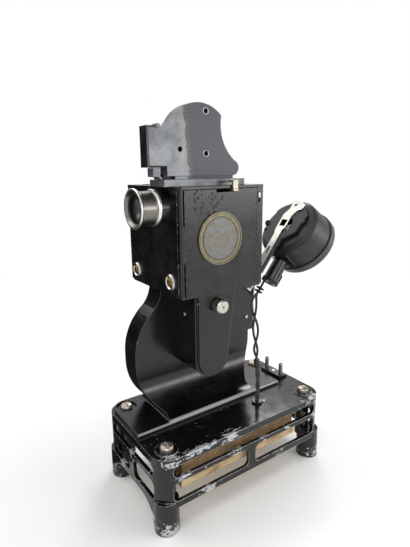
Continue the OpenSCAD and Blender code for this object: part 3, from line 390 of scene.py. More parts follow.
@dataclass(frozen=True)
class HandledSheet(Finish):
    """Thin sheet that years of handling have worn: the rear keeps its dull dark japan, and
    forward of a ragged brown seam the paint has thinned to a grey polish with fine pits.
    Its edges are painted light grey, partly wear and partly painted highlight."""

    name: str = "worn japan on thin sheet"
    japan: str = "#424348"
    shade: str = "#515356"
    thinned: str = "#727477"
    seam: str = "#43352c"
    # edge coat: partly wear, partly painted highlight
    edge_wear_and_highlight: str = "#9a9ca0"
    seam_y: float = -36.0
    seam_lean: float = 0.09
    lean_from_z: float = 270.0

    def mix(self, b: Bench) -> None:
        """Mixes the two halves of the cheek, the pits and the ragged seam between them.

        Args:
            b: The empty bench to mix it on.
        """
        t = b.tree
        edge, eased = b.edges(0.45)
        axes = add(t, "SeparateXYZ", b.place).node.outputs
        ragged = add(t, "TexNoise", Vector=b.place, Scale=1 / 6.0, Detail=8.0, Roughness=0.72)
        upright = -self.seam_lean * self.lean_from_z
        lean = add(t, "Math.MULTIPLY_ADD", axes["Z"], self.seam_lean, upright)
        shift = add(t, "Math.MULTIPLY_ADD", ragged, 6.0, lean)
        line = add(t, "Math.ADD", axes["Y"], shift)
        rear = add(t, "MapRange", line, self.seam_y - 1.2, self.seam_y + 4.2,
                   interpolation_type="SMOOTHSTEP")
        off = add(t, "Math.ADD", line, -self.seam_y - 1.0)
        near = add(t, "Math.ABSOLUTE", off)
        grit = add(t, "TexNoise", Vector=b.place, Scale=1 / 1.3, Detail=6.0, Roughness=0.75)
        brown = add(t, "MapRange", near, 3.4, 0.4, 0.0, 0.2)
        stain = add(t, "Math.ADD", brown, grit)
        stained = add(t, "MapRange", stain, 0.62, 0.72)
        cloud = add(t, "TexNoise", Vector=b.place, Scale=1 / 13.0, Detail=3.0, Roughness=0.5)
        soft = add(t, "MapRange", cloud, 0.36, 0.6)
        pits = add(t, "MapRange", grit, 0.47, 0.33, 0.0, 0.75)
        rough = add(t, "Mix", rear, 0.32, 0.44, data_type="FLOAT")
        metal = add(t, "Mix", rear, 0.4, 0.1, data_type="FLOAT")
        # The light edge coat is partly wear and partly painted highlight.
        colour = b.coats(self.shade, (soft, self.thinned), (pits, self.japan), (rear, self.japan),
                         (stained, self.seam), (edge, self.edge_wear_and_highlight))
        b.cover(colour, (grit, 0.25, 0.04), eased, Roughness=rough, Metallic=metal)


@dataclass(frozen=True)
class HeatBlack(Finish):
    """Matt heat-proof black on spun sheet, as on a lamp house: it spreads light so widely
    that round forms read as soft grey, with a fine sandy tooth."""

    name: str = "matt heat-proof black"
    black: str = "#151618"
    bloom: str = "#2b2c2f"
    roughness: float = 0.4
    tooth_mm: float = 0.5

    def mix(self, b: Bench) -> None:
        """Mixes the matt black, its pale bloom and its tooth.

        Args:
            b: The empty bench to mix it on.
        """
        t = b.tree
        edge, eased = b.edges(0.5)
        cloud = add(t, "TexNoise", Vector=b.place, Scale=1 / 11.0, Detail=6.0, Roughness=0.6)
        pale = add(t, "MapRange", cloud, 0.35, 0.75)
        worn = add(t, "Math.MULTIPLY_ADD", edge, 0.45, pale, use_clamp=True)
        tooth = add(t, "TexNoise", Vector=b.place, Scale=1 / self.tooth_mm, Detail=2.0)
        rough = add(t, "MapRange", cloud, 0.0, 1.0, self.roughness - 0.07, self.roughness + 0.12)
        b.cover(b.coats(self.black, (worn, self.bloom)), (tooth, 0.12, 0.03), eased, Roughness=rough)


@dataclass(frozen=True)
class StampedDisc(Finish):
    """Thin brass stamped into a round plate and plated: a broad brassy border with a thin
    dark line inside it, and a bare field worn to grey, mottled where the plate has gone."""

    name: str = "stamped brass plate, worn bare"
    border: str = "#7c765f"
    groove: str = "#4a4637"
    field: str = "#6e7073"
    mottle: str = "#706b58"
    middle: Point = (33.0, -20.7, 211.2)
    reach: float = 19.0
    border_mm: float = 3.6
    lip_mm: float = 1.1

    def mix(self, b: Bench) -> None:
        """Mixes the plate by the distance from its middle.

        Args:
            b: The empty bench to mix it on.
        """
        t = b.tree
        _, eased = b.edges(0.3)
        away = add(t, "VectorMath.DISTANCE", b.place, self.middle)
        blotch = add(t, "TexNoise", Vector=b.place, Scale=1 / 2.6, Detail=8.0, Roughness=0.7)
        worn = add(t, "MapRange", blotch, 0.44, 0.6)
        band = add(t, "Math.GREATER_THAN", away, self.reach - self.border_mm)
        lines = [add(t, "Math.COMPARE", away, self.reach - inset, half)
                 for inset, half in ((self.border_mm, 0.22), (self.lip_mm, 0.2))]
        cut = add(t, "Math.MAXIMUM", *lines)
        edged = b.coats(self.border, (worn, self.mottle))
        colour = b.coats(self.field, (worn, self.mottle), (band, edged), (cut, self.groove))
        rough = add(t, "MapRange", blotch, 0.3, 0.7, 0.34, 0.6)
        b.cover(colour, (blotch, 0.3, 0.08), eased, Roughness=rough, Metallic=0.75)


@dataclass(frozen=True)
class PlatedMetal(Finish):
    """Nickel plate or bare turned metal: bright, with fine scratches from wiping, a warm
    bloom where the plate has thinned and grime in small spots. Its edges, and a raised rim
    past rim_highlight_from, are painted lighter, partly wear and partly painted highlight."""

    name: str = "nickel plate on brass"
    metal: str = "#c9c7c0"
    bloom: str = "#8f8a7c"
    grime: str = "#2a2621"
    roughness: float = 0.22
    bloom_mm: float = 5.0
    bloom_share: float = 0.5
    # edge and rim coat: partly wear, partly painted highlight
    edge_wear_and_highlight: str = "#c9c7c0"
    rim_highlight_from: float = 1000.0
    axis_xz: tuple[float, float] = (14.0, 234.0)
    scratch: Point = (0.4, 3.0, 3.0)

    def mix(self, b: Bench) -> None:
        """Mixes the bright metal, its bloom, its grime and its scratches.

        Args:
            b: The empty bench to mix it on.
        """
        t = b.tree
        edge, eased = b.edges(0.35)
        cloud = add(t, "TexNoise", Vector=b.place, Scale=1 / self.bloom_mm, Detail=7.0,
                    Roughness=0.68)
        tired = add(t, "MapRange", cloud, 0.45, 0.7, 0.0, self.bloom_share)
        # Painted highlight: past rim_highlight_from from the axis the raised rim takes the light edge
        # coat.
        axis = (self.axis_xz[0], 0.0, self.axis_xz[1])
        centred = add(t, "VectorMath.SUBTRACT", b.place, axis)
        flat = add(t, "VectorMath.MULTIPLY", centred, (1.0, 0.0, 1.0))
        out = add(t, "VectorMath.LENGTH", flat)
        ring = add(t, "MapRange", out, self.rim_highlight_from, self.rim_highlight_from + 0.5)
        shown = add(t, "Math.MAXIMUM", edge, ring)
        spots = add(t, "TexNoise", Vector=b.place, Scale=1 / 1.3, Detail=6.0, Roughness=0.75)
        dirt = add(t, "MapRange", spots, 0.66, 0.8, 0.0, 0.75)
        drawn = add(t, "VectorMath.MULTIPLY", b.place, self.scratch)
        lines = add(t, "TexNoise", Vector=drawn, Scale=1.0, Detail=3.0)
        rough = add(t, "MapRange", cloud, 0.0, 1.0, self.roughness - 0.07, self.roughness + 0.22)
        colour = b.coats(self.metal, (tired, self.bloom), (shown, self.edge_wear_and_highlight), (dirt, self.grime))
        b.cover(colour, (lines, 0.15, 0.02), eased, Roughness=rough, Metallic=1.0)


@dataclass(frozen=True)
class PressedBoard(Finish):
    """Pressed insulating board, heated for years: matt, with lengthwise fibres, a darker
    scorched edge and small freckles."""

    name: str = "pressed insulating board"
    board: str = "#b08a58"
    scorch: str = "#6e4d2c"
    fibre_mm: float = 1.2

    def mix(self, b: Bench) -> None:
        """Mixes the board's fibres and scorch.

        Args:
            b: The empty bench to mix it on.
        """
        t = b.tree
        drawn = add(t, "VectorMath.MULTIPLY", b.place, (1.0, 0.09, 1.0))
        fibre = add(t, "TexNoise", Vector=drawn, Scale=1 / self.fibre_mm, Detail=5.0, Roughness=0.6)
        cloud = add(t, "TexNoise", Vector=b.place, Scale=1 / 12.0, Detail=4.0)
        both = add(t, "Math.MULTIPLY", fibre, cloud)
        dark = add(t, "MapRange", both, 0.2, 0.42)
        b.cover(b.coats(self.board, (dark, self.scorch)), (fibre, 0.4, 0.08), Roughness=0.78)


@dataclass(frozen=True)
class Moulding(Finish):
    """Black phenolic moulding or turned ebonised wood: a hard dark body with a low polish
    and a faint grain or flow."""

    name: str = "black phenolic moulding"
    body: str = "#100f0e"
    flow: str = "#221e1b"
    roughness: float = 0.3
    stretch: Point = (1.0, 1.0, 1.0)

    def mix(self, b: Bench) -> None:
        """Mixes the moulding's body and flow.

        Args:
            b: The empty bench to mix it on.
        """
        t = b.tree
        edge, eased = b.edges(0.4)
        drawn = add(t, "VectorMath.MULTIPLY", b.place, self.stretch)
        flow = add(t, "TexNoise", Vector=drawn, Scale=1 / 2.4, Detail=5.0, Roughness=0.6)
        share = add(t, "MapRange", flow, 0.4, 0.75)
        worn = add(t, "Math.MULTIPLY_ADD", edge, 0.4, share, use_clamp=True)
        colour = b.coats(self.body, (worn, self.flow))
        b.cover(colour, (flow, 0.2, 0.03), eased, Roughness=self.roughness)


@dataclass(frozen=True)
class GroundGlass(Finish):
    """Polished optical glass: clear, with a trace of grease that dulls it in patches."""

    name: str = "polished optical glass"
    tint: str = "#e4ecea"
    ior: float = 1.52

    def mix(self, b: Bench) -> None:
        """Mixes the clear glass and its grease.

        Args:
            b: The empty bench to mix it on.
        """
        film = add(b.tree, "TexNoise", Vector=b.place, Scale=1 / 6.0, Detail=5.0)
        rough = add(b.tree, "MapRange", film, 0.4, 0.8, 0.01, 0.12)
        b.cover(linear(self.tint), Roughness=rough, IOR=self.ior, Transmission_Weight=1.0)


@dataclass(frozen=True)
class BraidedCotton(Finish):
    """Black cotton braid on a flexible wire: two sets of slanting threads that cross, each
    catching a little light, with lint in the hollows."""

    name: str = "black cotton braid"
    cotton: str = "#161514"
    thread: str = "#34322f"
    threads_round: float = 10.0
    threads_mm: float = 0.9

    def mix(self, b: Bench) -> None:
        """Mixes the braid from the strand's own map: u goes round it and v along it in mm.

        Args:
            b: The empty bench to mix it on.
        """
        t = b.tree
        axes = add(t, "SeparateXYZ", add(t, "UVMap", uv_map="strand")).node.outputs
        turns = add(t, "Math.MULTIPLY", axes["X"], self.threads_round)
        along = add(t, "Math.MULTIPLY", axes["Y"], 1 / self.threads_mm)
        waves = []
        for sign in ("Math.ADD", "Math.SUBTRACT"):
            slant = add(t, sign, turns, along)
            angle = add(t, "Math.MULTIPLY", slant, math.pi)
            wave = add(t, "Math.SINE", angle)
            waves.append(add(t, "Math.ABSOLUTE", wave))
        over = add(t, "Math.MAXIMUM", *waves)
        lit = add(t, "MapRange", over, 0.55, 1.0)
        colour = b.coats(self.cotton, (lit, self.thread))
        b.cover(colour, (over, 0.6, 0.12), Roughness=0.72, Sheen_Weight=0.25)


@dataclass(frozen=True)
class StudioPaper(Finish):
    """White paper under and behind the object: near the object it is lit paper that keeps
    the shadow, and further off it goes over into the even white of the room."""

    name: str = "white studio paper"
    paper: str = "#efefee"
    near_mm: float = 300.0
    far_mm: float = 900.0

    def mix(self, b: Bench) -> None:
        """Mixes the lit paper with the even white that camera and reflections see far off.

        Args:
            b: The empty bench to mix it on.
        """
        t = b.tree
        tooth = add(t, "TexNoise", Vector=b.place, Scale=1 / 3.0, Detail=4.0)
        lit = b.cover(linear(self.paper), (tooth, 0.03, 0.05), Roughness=0.9)
        away = add(t, "VectorMath.LENGTH", b.place)
        far = add(t, "MapRange", away, self.near_mm, self.far_mm, interpolation_type="SMOOTHSTEP")
        share = add(t, "Math.MULTIPLY", seen_rays(t), far)
        white = add(t, "Emission", Color=(1, 1, 1, 1), Strength=1.0)
        both = add(t, "MixShader", share, lit, white)
        t.links.new(both, lit.links[0].to_socket)


@dataclass(frozen=True)
class Velvet(Finish):
    """Black velvet, which gives reflections a dark to show."""

    name: str = "black velvet"
    black: str = "#0d0b0a"

    def mix(self, b: Bench) -> None:
        """Mixes the plain dull black.

        Args:
            b: The empty bench to mix it on.
        """
        b.cover(linear(self.black), Roughness=0.95)


# Surfaces from grids


def skin(name: str, grid: np.ndarray, closed_u: bool = True, closed_v: bool = False,
         capped: bool = False, shading: Shading = Shading.SMOOTH) -> bpy.types.Object:
    """Makes a mesh from a grid of points, four neighbours to a face.

    Args:
        name: The piece's name.
        grid: Points in millimetres, of shape (rows, columns, 3). Rows run along the piece
            and columns run round it, anticlockwise as seen from the last row.
        closed_u: Whether the last column joins the first.
        closed_v: Whether the last row joins the first.
        capped: Whether the first and last rows are each closed by one face.
        shading: Smooth or flat faces.

    Returns:
        The object, at the origin, with its place in its mesh.
    """
    rows, columns = grid.shape[:2]
    number = np.arange(rows * columns).reshape(rows, columns)
    here = number if closed_v else number[:-1]
    above = np.roll(number, -1, 0) if closed_v else number[1:]
    if closed_u:
        quads = np.stack([here, np.roll(here, -1, 1), np.roll(above, -1, 1), above], -1)
    else:
        quads = np.stack([here[:, :-1], here[:, 1:], above[:, 1:], above[:, :-1]], -1)
    faces = quads.reshape(-1, 4).tolist()
    if capped:
        faces += [number[0][::-1].tolist(), number[-1].tolist()]
    mesh = bpy.data.meshes.new(name)
    mesh.from_pydata((grid.reshape(-1, 3) * MM).tolist(), [], faces)
    mesh.polygons.foreach_set("use_smooth", np.full(len(faces), shading.value))
    if capped or closed_v:
        solid = bmesh.new()
        solid.from_mesh(mesh)
        bmesh.ops.recalc_face_normals(solid, faces=solid.faces)
        solid.to_mesh(mesh)
        solid.free()
    mesh.update()
    piece = bpy.data.objects.new(name, mesh)
    bpy.context.scene.collection.objects.link(piece)
    return piece


def placed(axis: str, along: np.ndarray | float, first: np.ndarray, second: np.ndarray) -> np.ndarray:
    """Points from their places along an axis and along the other two axes in turn.

    Args:
        axis: The letter of the axis, x, y or z.
        along: Places along it.
        first: Places along the axis after it.
        second: Places along the one after that.

    Returns:
        The points, of shape (..., 3).
    """
    return np.roll(np.stack(np.broadcast_arrays(along, first, second), -1), "xyz".index(axis), -1)


def turned(profile: np.ndarray, centre: Point, axis: str, steps: int) -> np.ndarray:
    """A profile turned about an axis, as on a lathe.

    The point at angle a of profile point (s, r) is centre + s * axis + r * (cos a * first
    + sin a * second), where first and second are the other two axes in turn.

    Args:
        profile: Rows of (distance along the axis, radius) in millimetres.
        centre: Where the axis is, in millimetres.
        axis: The letter of the axis, x, y or z.
        steps: Points round each ring.

    Returns:
        A grid of points for skin().
    """
    angle = np.linspace(0, 2 * np.pi, steps, endpoint=False)
    along, radius = profile[:, :1], profile[:, 1:]
    return placed(axis, along, radius * np.cos(angle), radius * np.sin(angle)) + np.array(centre)


def smooth_path(points: np.ndarray, count: int) -> np.ndarray:
    """An even path through the given points, by a cubic through each in turn.

    Between two points it is the Hermite cubic whose slopes are half the chord across each
    point's neighbours; it is then read off at equal lengths.

    Args:
        points: The points that it passes through, of shape (n, 3).
        count: How many points to return.

    Returns:
        The even path, of shape (count, 3).
    """
    slope = np.gradient(points, axis=0)
    t = np.linspace(0, len(points) - 1, 40 * len(points))
    i = np.minimum(t.astype(int), len(points) - 2)
    u = (t - i)[:, None]
    path = (
        (2 * u**3 - 3 * u**2 + 1) * points[i]
        + (u**3 - 2 * u**2 + u) * slope[i]
        + (3 * u**2 - 2 * u**3) * points[i + 1]
        + (u**3 - u**2) * slope[i + 1]
    )
    way = np.concatenate([[0], np.cumsum(np.linalg.norm(np.diff(path, axis=0), axis=1))])
    even = np.linspace(0, way[-1], count)
    return np.stack([np.interp(even, way, path[:, k]) for k in range(3)], -1)


def frames(path: np.ndarray, guide: Point) -> tuple[np.ndarray, np.ndarray]:
    """Two directions square to a path at each of its points.

    The first is the guide with its share along the path taken out, and the second is
    square to the path and to the first.

    Args:
        path: Points in order, of shape (n, 3).
        guide: A direction that the path never runs along.

    Returns:
        The first and second directions, each of shape (n, 3).
    """
    ahead = np.gradient(path, axis=0)
    ahead /= np.linalg.norm(ahead, axis=1, keepdims=True)
    first = np.array(guide) - (ahead @ np.array(guide))[:, None] * ahead
    first /= np.linalg.norm(first, axis=1, keepdims=True)
    return first, np.cross(ahead, first)


def tube(path: np.ndarray, radius: np.ndarray | float, guide: Point, sides: int) -> np.ndarray:
    """A round section carried along a path: point + radius * (cos a * first + sin a * second).

    Args:
        path: The centreline in millimetres, of shape (n, 3).
        radius: One radius, or one for each point of the path.
        guide: A direction that the path never runs along.
        sides: Points round each ring.

    Returns:
        A grid of points for skin().
    """
    first, second = frames(path, guide)
    angle = np.linspace(0, 2 * np.pi, sides, endpoint=False)[None, :, None]
    ring = np.cos(angle) * first[:, None] + np.sin(angle) * second[:, None]
    return path[:, None] + np.reshape(radius, (-1, 1, 1)) * ring


def plate(outline: list[tuple[float, float]], axis: str, low: float, high: float,
          soft: float) -> np.ndarray:
    """A flat outline given a thickness along an axis, with its edges softened.

    Its four rings are the outline drawn in by soft at low and high, and the outline itself
    at low + soft and high - soft. A corner is drawn in along the sum of its two edges'
    normals over one plus their product, which keeps each edge parallel to itself.

    Args:
        outline: Corners in the plane of the other two axes in turn, anticlockwise.
        axis: The letter of the axis of its thickness.
        low: Where the thickness starts, in millimetres.
        high: Where it ends.
        soft: How far its edges are drawn in.

    Returns:
        A grid of points for skin(), to be capped.
    """
    corner = np.array(outline, float)
    edge = np.roll(corner, -1, 0) - corner
    edge /= np.linalg.norm(edge, axis=1, keepdims=True)
    normal = np.stack([-edge[:, 1], edge[:, 0]], -1)
    before = np.roll(normal, 1, 0)
    inward = (normal + before) / (1 + (normal * before).sum(1, keepdims=True))
    rings = ((low, soft), (low + soft, 0), (high - soft, 0), (high, soft))
    return np.stack([placed(axis, place, *(corner + inset * inward).T) for place, inset in rings])


def slotted_head(centre: Point, axis: str, radius: float, height: float,
                 facing: int = 1) -> np.ndarray:
    """The head of a slotted screw as one grid of rings.

    At radius r and angle a the face stands height * (1 - 0.35 (r / radius)^2) proud, less
    0.4 height where |r sin(a + 0.5)| is under 0.16 radius, which is the slot, and its last
    ring drops to the seat.

    Args:
        centre: The middle of the seat in millimetres.
        axis: The letter of the screw's axis.
        radius: The head's radius.
        height: How far the head stands proud.
        facing: 1 where it looks along the axis and -1 where it looks back.

    Returns:
        A grid of points for skin(), to be capped.
    """
    rings = radius * np.array([0.02, 0.25, 0.5, 0.7, 0.85, 1.0, 1.0])
    r, a = np.meshgrid(rings, np.linspace(0, 2 * np.pi, 32, endpoint=False), indexing="ij")
    face = height * (1 - 0.35 * (r / radius) ** 2)
    face = np.where(np.abs(r * np.sin(a + 0.5)) < 0.16 * radius, face - 0.4 * height, face)
    face[-1] = 0
    return placed(axis, facing * face, r * np.cos(a), r * np.sin(a))[::-1] + np.array(centre)


def swung(grid: np.ndarray) -> np.ndarray:
    """Swings points of the closed lamp house open about its hinge.

    With y and z counted from the hinge, y becomes y cos a + z sin a and z becomes
    z cos a - y sin a, where a is the angle that it stands open.

    Args:
        grid: Points of the closed lamp house in millimetres.

    Returns:
        The same points with the lamp house open.
    """
    a = math.radians(OPEN_DEG)
    y, z = grid[..., 1] - HINGE_YZ[0], grid[..., 2] - HINGE_YZ[1]
    back = HINGE_YZ[0] + y * math.cos(a) + z * math.sin(a)
    up = HINGE_YZ[1] + z * math.cos(a) - y * math.sin(a)
    return np.stack([grid[..., 0], back, up], -1)


def joined(name: str, pieces: list[bpy.types.Object]) -> bpy.types.Object:
    """Joins several meshes into one.

    Args:
        name: What the whole is called.
        pieces: The meshes, of which the first takes in the others.

    Returns:
        The whole.
    """
    with bpy.context.temp_override(active_object=pieces[0], selected_editable_objects=pieces):
        bpy.ops.object.join()
    pieces[0].name = name
    return pieces[0]


def settle(piece: bpy.types.Object, finish: bpy.types.Material, body: Body | None, slot: str,
           *stands_for: str) -> bpy.types.Object:
    """Gives a new piece its finish, its body and the solids that it stands for.

    Args:
        piece: The new piece.
        finish: Its material.
        body: The body that it moves with, or None for a piece that is shared by two.
        slot: The material slot of the record that it is finished from; not used.
        *stands_for: Names of the solids that it replaces.

    Returns:
        The piece.
    """
    piece.data.materials.clear()
    piece.data.materials.append(finish)
    if body:
        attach(piece, body.value)
    if stands_for:
        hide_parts(*stands_for)
    carrier = body.value if body else "two bodies"
    LOG.info("%s: %d faces on %s", piece.name, len(piece.data.polygons), carrier)
    return piece


# The studio


@dataclass(frozen=True)
class Studio:
    """The camera where the photographer stood, a pale floor and soft light.

    Each lamp is a place, a width and a height in metres, its power in watts and whether
    reflections show it. The low one behind on the right is the sheet that the side door's
    upper half mirrors.
    """

    lens_mm: float = 27.98
    azimuth: float = 55.03
    elevation: float = 13.56
    roll: float = -0.62
    stands: Point = (271.98, -202.17, 257.98)
    aim_z: float = 0.2
    world_strength: float = 0.62
    floor_mm: float = 9000.0
    flag_from: tuple[float, float] = (-10.0, -50.0)
    flag_along: tuple[float, float] = (-0.86, -0.51)
    flag_run: tuple[float, float] = (55.0, 900.0)
    flag_half: tuple[float, float] = (110.0, 620.0)
    flag_flat: float = 0.8
    flag_rise: float = 620.0
    globe_mm: float = 1700.0
    globe_rise: tuple[float, float] = (27.0, 84.0)
    globe_bearing: tuple[float, float] = (-38.0, 62.0)
    lamps: tuple[tuple[str, Point, float, float, float, bool], ...] = (
        ("window", (-0.75, -0.75, 0.95), 0.9, 0.9, 5.5, True),
        ("front_sheet", (0.95, -0.55, 0.8), 0.7, 0.7, 3.0, True),
        ("overhead", (0.1, 0.5, 1.1), 0.9, 0.4, 5.0, False),
        ("low_sheet", (0.95, 0.78, 0.31), 1.2, 0.26, 5.0, True),
        ("back_left", (-0.66, 0.65, 0.82), 0.36, 0.22, 3.0, True),
    )

    def place_camera(self) -> None:
        """Sets the camera from its bearing, its height above the horizon and its roll."""
        a, e, r = (math.radians(x) for x in (self.azimuth, self.elevation, self.roll))
        back = Vector((math.sin(a) * math.cos(e), -math.cos(a) * math.cos(e), math.sin(e)))
        level = Vector((math.cos(a), math.sin(a), 0))
        upright = back.cross(level)
        right = level * math.cos(r) + upright * math.sin(r)
        top = upright * math.cos(r) - level * math.sin(r)
        camera = bpy.data.objects.new("camera", bpy.data.cameras.new("camera"))
        camera.data.lens = self.lens_mm
        camera.data.clip_start, camera.data.clip_end = 0.01, 20
        turn = Matrix((right, top, back)).transposed().to_4x4()
        camera.matrix_world = Matrix.Translation(Vector(self.stands) * MM) @ turn
        bpy.context.scene.collection.objects.link(camera)
        bpy.context.scene.camera = camera

    def light(self) -> None:
        """Hangs soft lamps round the object and lights the room evenly."""
        for name, place, wide, high, watts, mirrored in self.lamps:
            lamp = bpy.data.objects.new(name, bpy.data.lights.new(name, "AREA"))
            lamp.data.shape, lamp.data.energy = "RECTANGLE", watts
            lamp.data.size, lamp.data.size_y = wide, high
            lamp.location, lamp.visible_glossy = place, mirrored
            aim = Vector((0, 0, self.aim_z)) - Vector(place)
            lamp.rotation_euler = aim.to_track_quat("-Z", "Y").to_euler()
            bpy.context.scene.collection.objects.link(lamp)
        world = bpy.data.worlds.new("white room")
        world.use_nodes = True
        tree = world.node_tree
        tree.nodes.clear()
        strength = add(tree, "MapRange", seen_rays(tree), 0.0, 1.0, self.world_strength, 1.0)
        add(tree, "OutputWorld", add(tree, "Background", Color=(1, 1, 1, 1), Strength=strength))
        bpy.context.scene.world = world

    def lay_floor(self) -> None:
        """Lays the paper flat under the object and out to where it is even white."""
        reach = np.linspace(-1, 1, 9) * self.floor_mm
        x, y = np.meshgrid(reach, reach)
        paper = skin("floor", np.stack([x, y, 0 * x], -1), closed_u=False)
        paper.data.materials.append(StudioPaper().build())

    def hang(self, name: str, grid: np.ndarray) -> None:
        """Hangs a black cloth that only reflections show, as the dark of a studio.

        Args:
            name: What the cloth is called.
            grid: Its points in millimetres.
        """
        cloth = skin(name, grid, closed_u=False)
        cloth.data.materials.append(Velvet().build())
        cloth.visible_camera = cloth.visible_diffuse = cloth.visible_shadow = False
        cloth.visible_transmission = cloth.visible_volume_scatter = False

    def hang_flags(self) -> None:
        """Hangs one cloth at the front left and one overhead behind.

        The front one lies on the floor away from the object and turns up at its far edge:
        at share s of its run it stands rise * max(0, s - flat) / (1 - flat) high. The other
        is part of a globe: at height angle e and bearing b from +Y a point is the globe's
        radius times (cos e sin b, cos e cos b, sin e).
        """
        share, side = np.meshgrid(np.linspace(0, 1, 21), np.linspace(-1, 1, 9), indexing="ij")
        way = self.flag_run[0] + self.flag_run[1] * share
        wide = (self.flag_half[0] + self.flag_half[1] * share) * side
        x = self.flag_from[0] + way * self.flag_along[0] - wide * self.flag_along[1]
        y = self.flag_from[1] + way * self.flag_along[1] + wide * self.flag_along[0]
        z = 1.0 + self.flag_rise * np.maximum(share - self.flag_flat, 0) / (1 - self.flag_flat)
        self.hang("front_flag", np.stack([x, y, z], -1))
        spans = (self.globe_rise, self.globe_bearing)
        e, b = np.meshgrid(*(np.radians(np.linspace(*span, 16)) for span in spans), indexing="ij")
        globe = np.stack([np.cos(e) * np.sin(b), np.cos(e) * np.cos(b), np.sin(e)], -1)
        self.hang("ceiling_flag", self.globe_mm * globe)

    def build(self) -> None:
        """Sets up the whole studio."""
        self.place_camera()
        self.light()
        self.lay_floor()
        self.hang_flags()
        bpy.context.scene.view_settings.view_transform = "Standard"


# The finishes


KNOCKS = (
    (45, -76, 60, 8), (47, -58, 61, 5), (47, -44, 61, 7), (46, -21, 61, 9), (45, 68, 60, 9),
    (47, -66, 44, 7), (47, -14, 44, 7), (47, 12, 44, 6), (47, 40, 44, 4), (47, -44, 23, 7),
    (47, 30, 24, 5), (48, -78, 3, 10), (34, -88, 12, 6), (31, -80, 3, 6), (31, -84.5, 51, 8),
    (-18, -84.5, 25, 8), (0, -84.5, 45, 7), (46, 80, 6, 9), (47, 74, 42, 6),
)

FINISHES: dict[str, tuple[Finish, str]] = {
    "base": (StovedEnamel("stoved black enamel, chipped", wear=0.12, foot_wear=0.1, side_wear=0.24,
                          knocks=KNOCKS), "base_casting"),
    "pillar": (StovedEnamel("stoved black enamel, painted lip highlight", roughness=0.16, lip_highlight_x=8.1), "pillar"),
    "chamber": (StovedEnamel(roughness=0.16), "chamber_body chamber_cover holder_tube"),
    "sheet": (EnamelledSheet(),
              "case_floor case_front case_back case_side case_lid side_door lens_tube crank_arm "
              "door_pin magazine_door"),
    "bracket": (EnamelledSheet("black enamel over bare sheet", bare_from_y=54.7), "rear_bracket"),
    "magazine": (HandledSheet(), "magazine_near_cheek magazine_far_cheek magazine_rim"),
    "seating": (HandledSheet("thinned enamel on a casting", shade="#4c4e51", thinned="#707377",
                             seam_y=1000.0), "magazine_base"),
    "lamp_black": (HeatBlack(), "lamp_flange lamp_drum"),
    "cap": (HeatBlack("worn heat-proof black", black="#2e2f31", bloom="#45464a"), "rear_cap"),
    "inside": (HeatBlack("chemically blackened metal", black="#0c0c0c", bloom="#171717",
                         roughness=0.6),
               "film_gate barrel_shutter mechanism_frame hinge_bracket lamp_holder"),
    "nickel": (PlatedMetal(), "thumbscrew bracket_pin screw_cups gate_strip"),
    # On the barrel the pale coat on its edges and past rim_highlight_from is a painted highlight on
    # rim and bead, partly wear.
    "barrel": (PlatedMetal("tired nickel plate", metal="#7d7b75", bloom="#5c5952", roughness=0.24,
                           edge_wear_and_highlight="#e4e2db", rim_highlight_from=11.7), "lens_barrel"),
    "dull_nickel": (PlatedMetal("dulled nickel plate", metal="#a9a8a4", bloom="#7b7870",
                                roughness=0.36),
                    "hinge_pin door_latch mains_pins"),
    "steel": (PlatedMetal("oiled mild steel", metal="#8c8b8a", bloom="#5b5853", roughness=0.34,
                          edge_wear_and_highlight="#a09f9d"),
              "crank_shaft shutter_shaft pinion claw_cam claw handle_pin flywheel"),
    "brass": (PlatedMetal("browned brass", metal="#77653f", bloom="#4e4029", roughness=0.34,
                          edge_wear_and_highlight="#97845a"), "shaft_bushes drive_gear screw_domes"),
    "screws": (PlatedMetal("tarnished nickel screw", metal="#b9b0a5", bloom="#80705f", roughness=0.36,
                           bloom_mm=3.0), "corner_screws"),
    "medallion": (StampedDisc(), "medallion"),
    "ivory": (PlatedMetal("yellowed nickel", metal="#b9b3a2", bloom="#989077", roughness=0.42),
              "framing_lever"),
    "mirror": (PlatedMetal("silvered reflector", metal="#e6e6e6", bloom="#c4c4c0", roughness=0.1),
               "reflector"),
    # The former is a darker copy of the cream board: partly its own browned colour and partly painted
    # shade under the top plate.
    "tan": (PressedBoard("darker insulating board, partly painted shade", board="#8c704c", scorch="#55412b"),
            "resistor_former"),
    "cream": (PressedBoard("cream insulating board", board="#c7ad84", scorch="#8a6a44"),
              "resistor_mat"),
    "moulding": (Moulding(), "pin_plinth cord_bush"),
    "wood": (Moulding("turned ebonised wood", stretch=(0.15, 1.0, 1.0), roughness=0.36),
             "crank_handle"),
    "glass": (GroundGlass(), "front_glass rear_glass condenser bulb"),
    "braid": (BraidedCotton(), "lamp_cord"),
}


class FinishBook(dict[str, bpy.types.Material]):
    """Every finish of the projector, mixed once and shared by the pieces that carry it."""

    def __init__(self) -> None:
        """Mixes the finishes."""
        super().__init__({key: finish.build() for key, (finish, _) in FINISHES.items()})

    def dress(self, nodes: dict[str, bpy.types.Object]) -> None:
        """Puts each finish on the solids that carry it.

        Args:
            nodes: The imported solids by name.
        """
        bare = set(nodes)
        for key, (_, names) in FINISHES.items():
            for name in names.split():
                nodes[name].data.materials.clear()
                nodes[name].data.materials.append(self[key])
                bare.discard(name)
        LOG.info("solids dressed: %d, left bare: %s", len(nodes) - len(bare), sorted(bare))


# The pieces


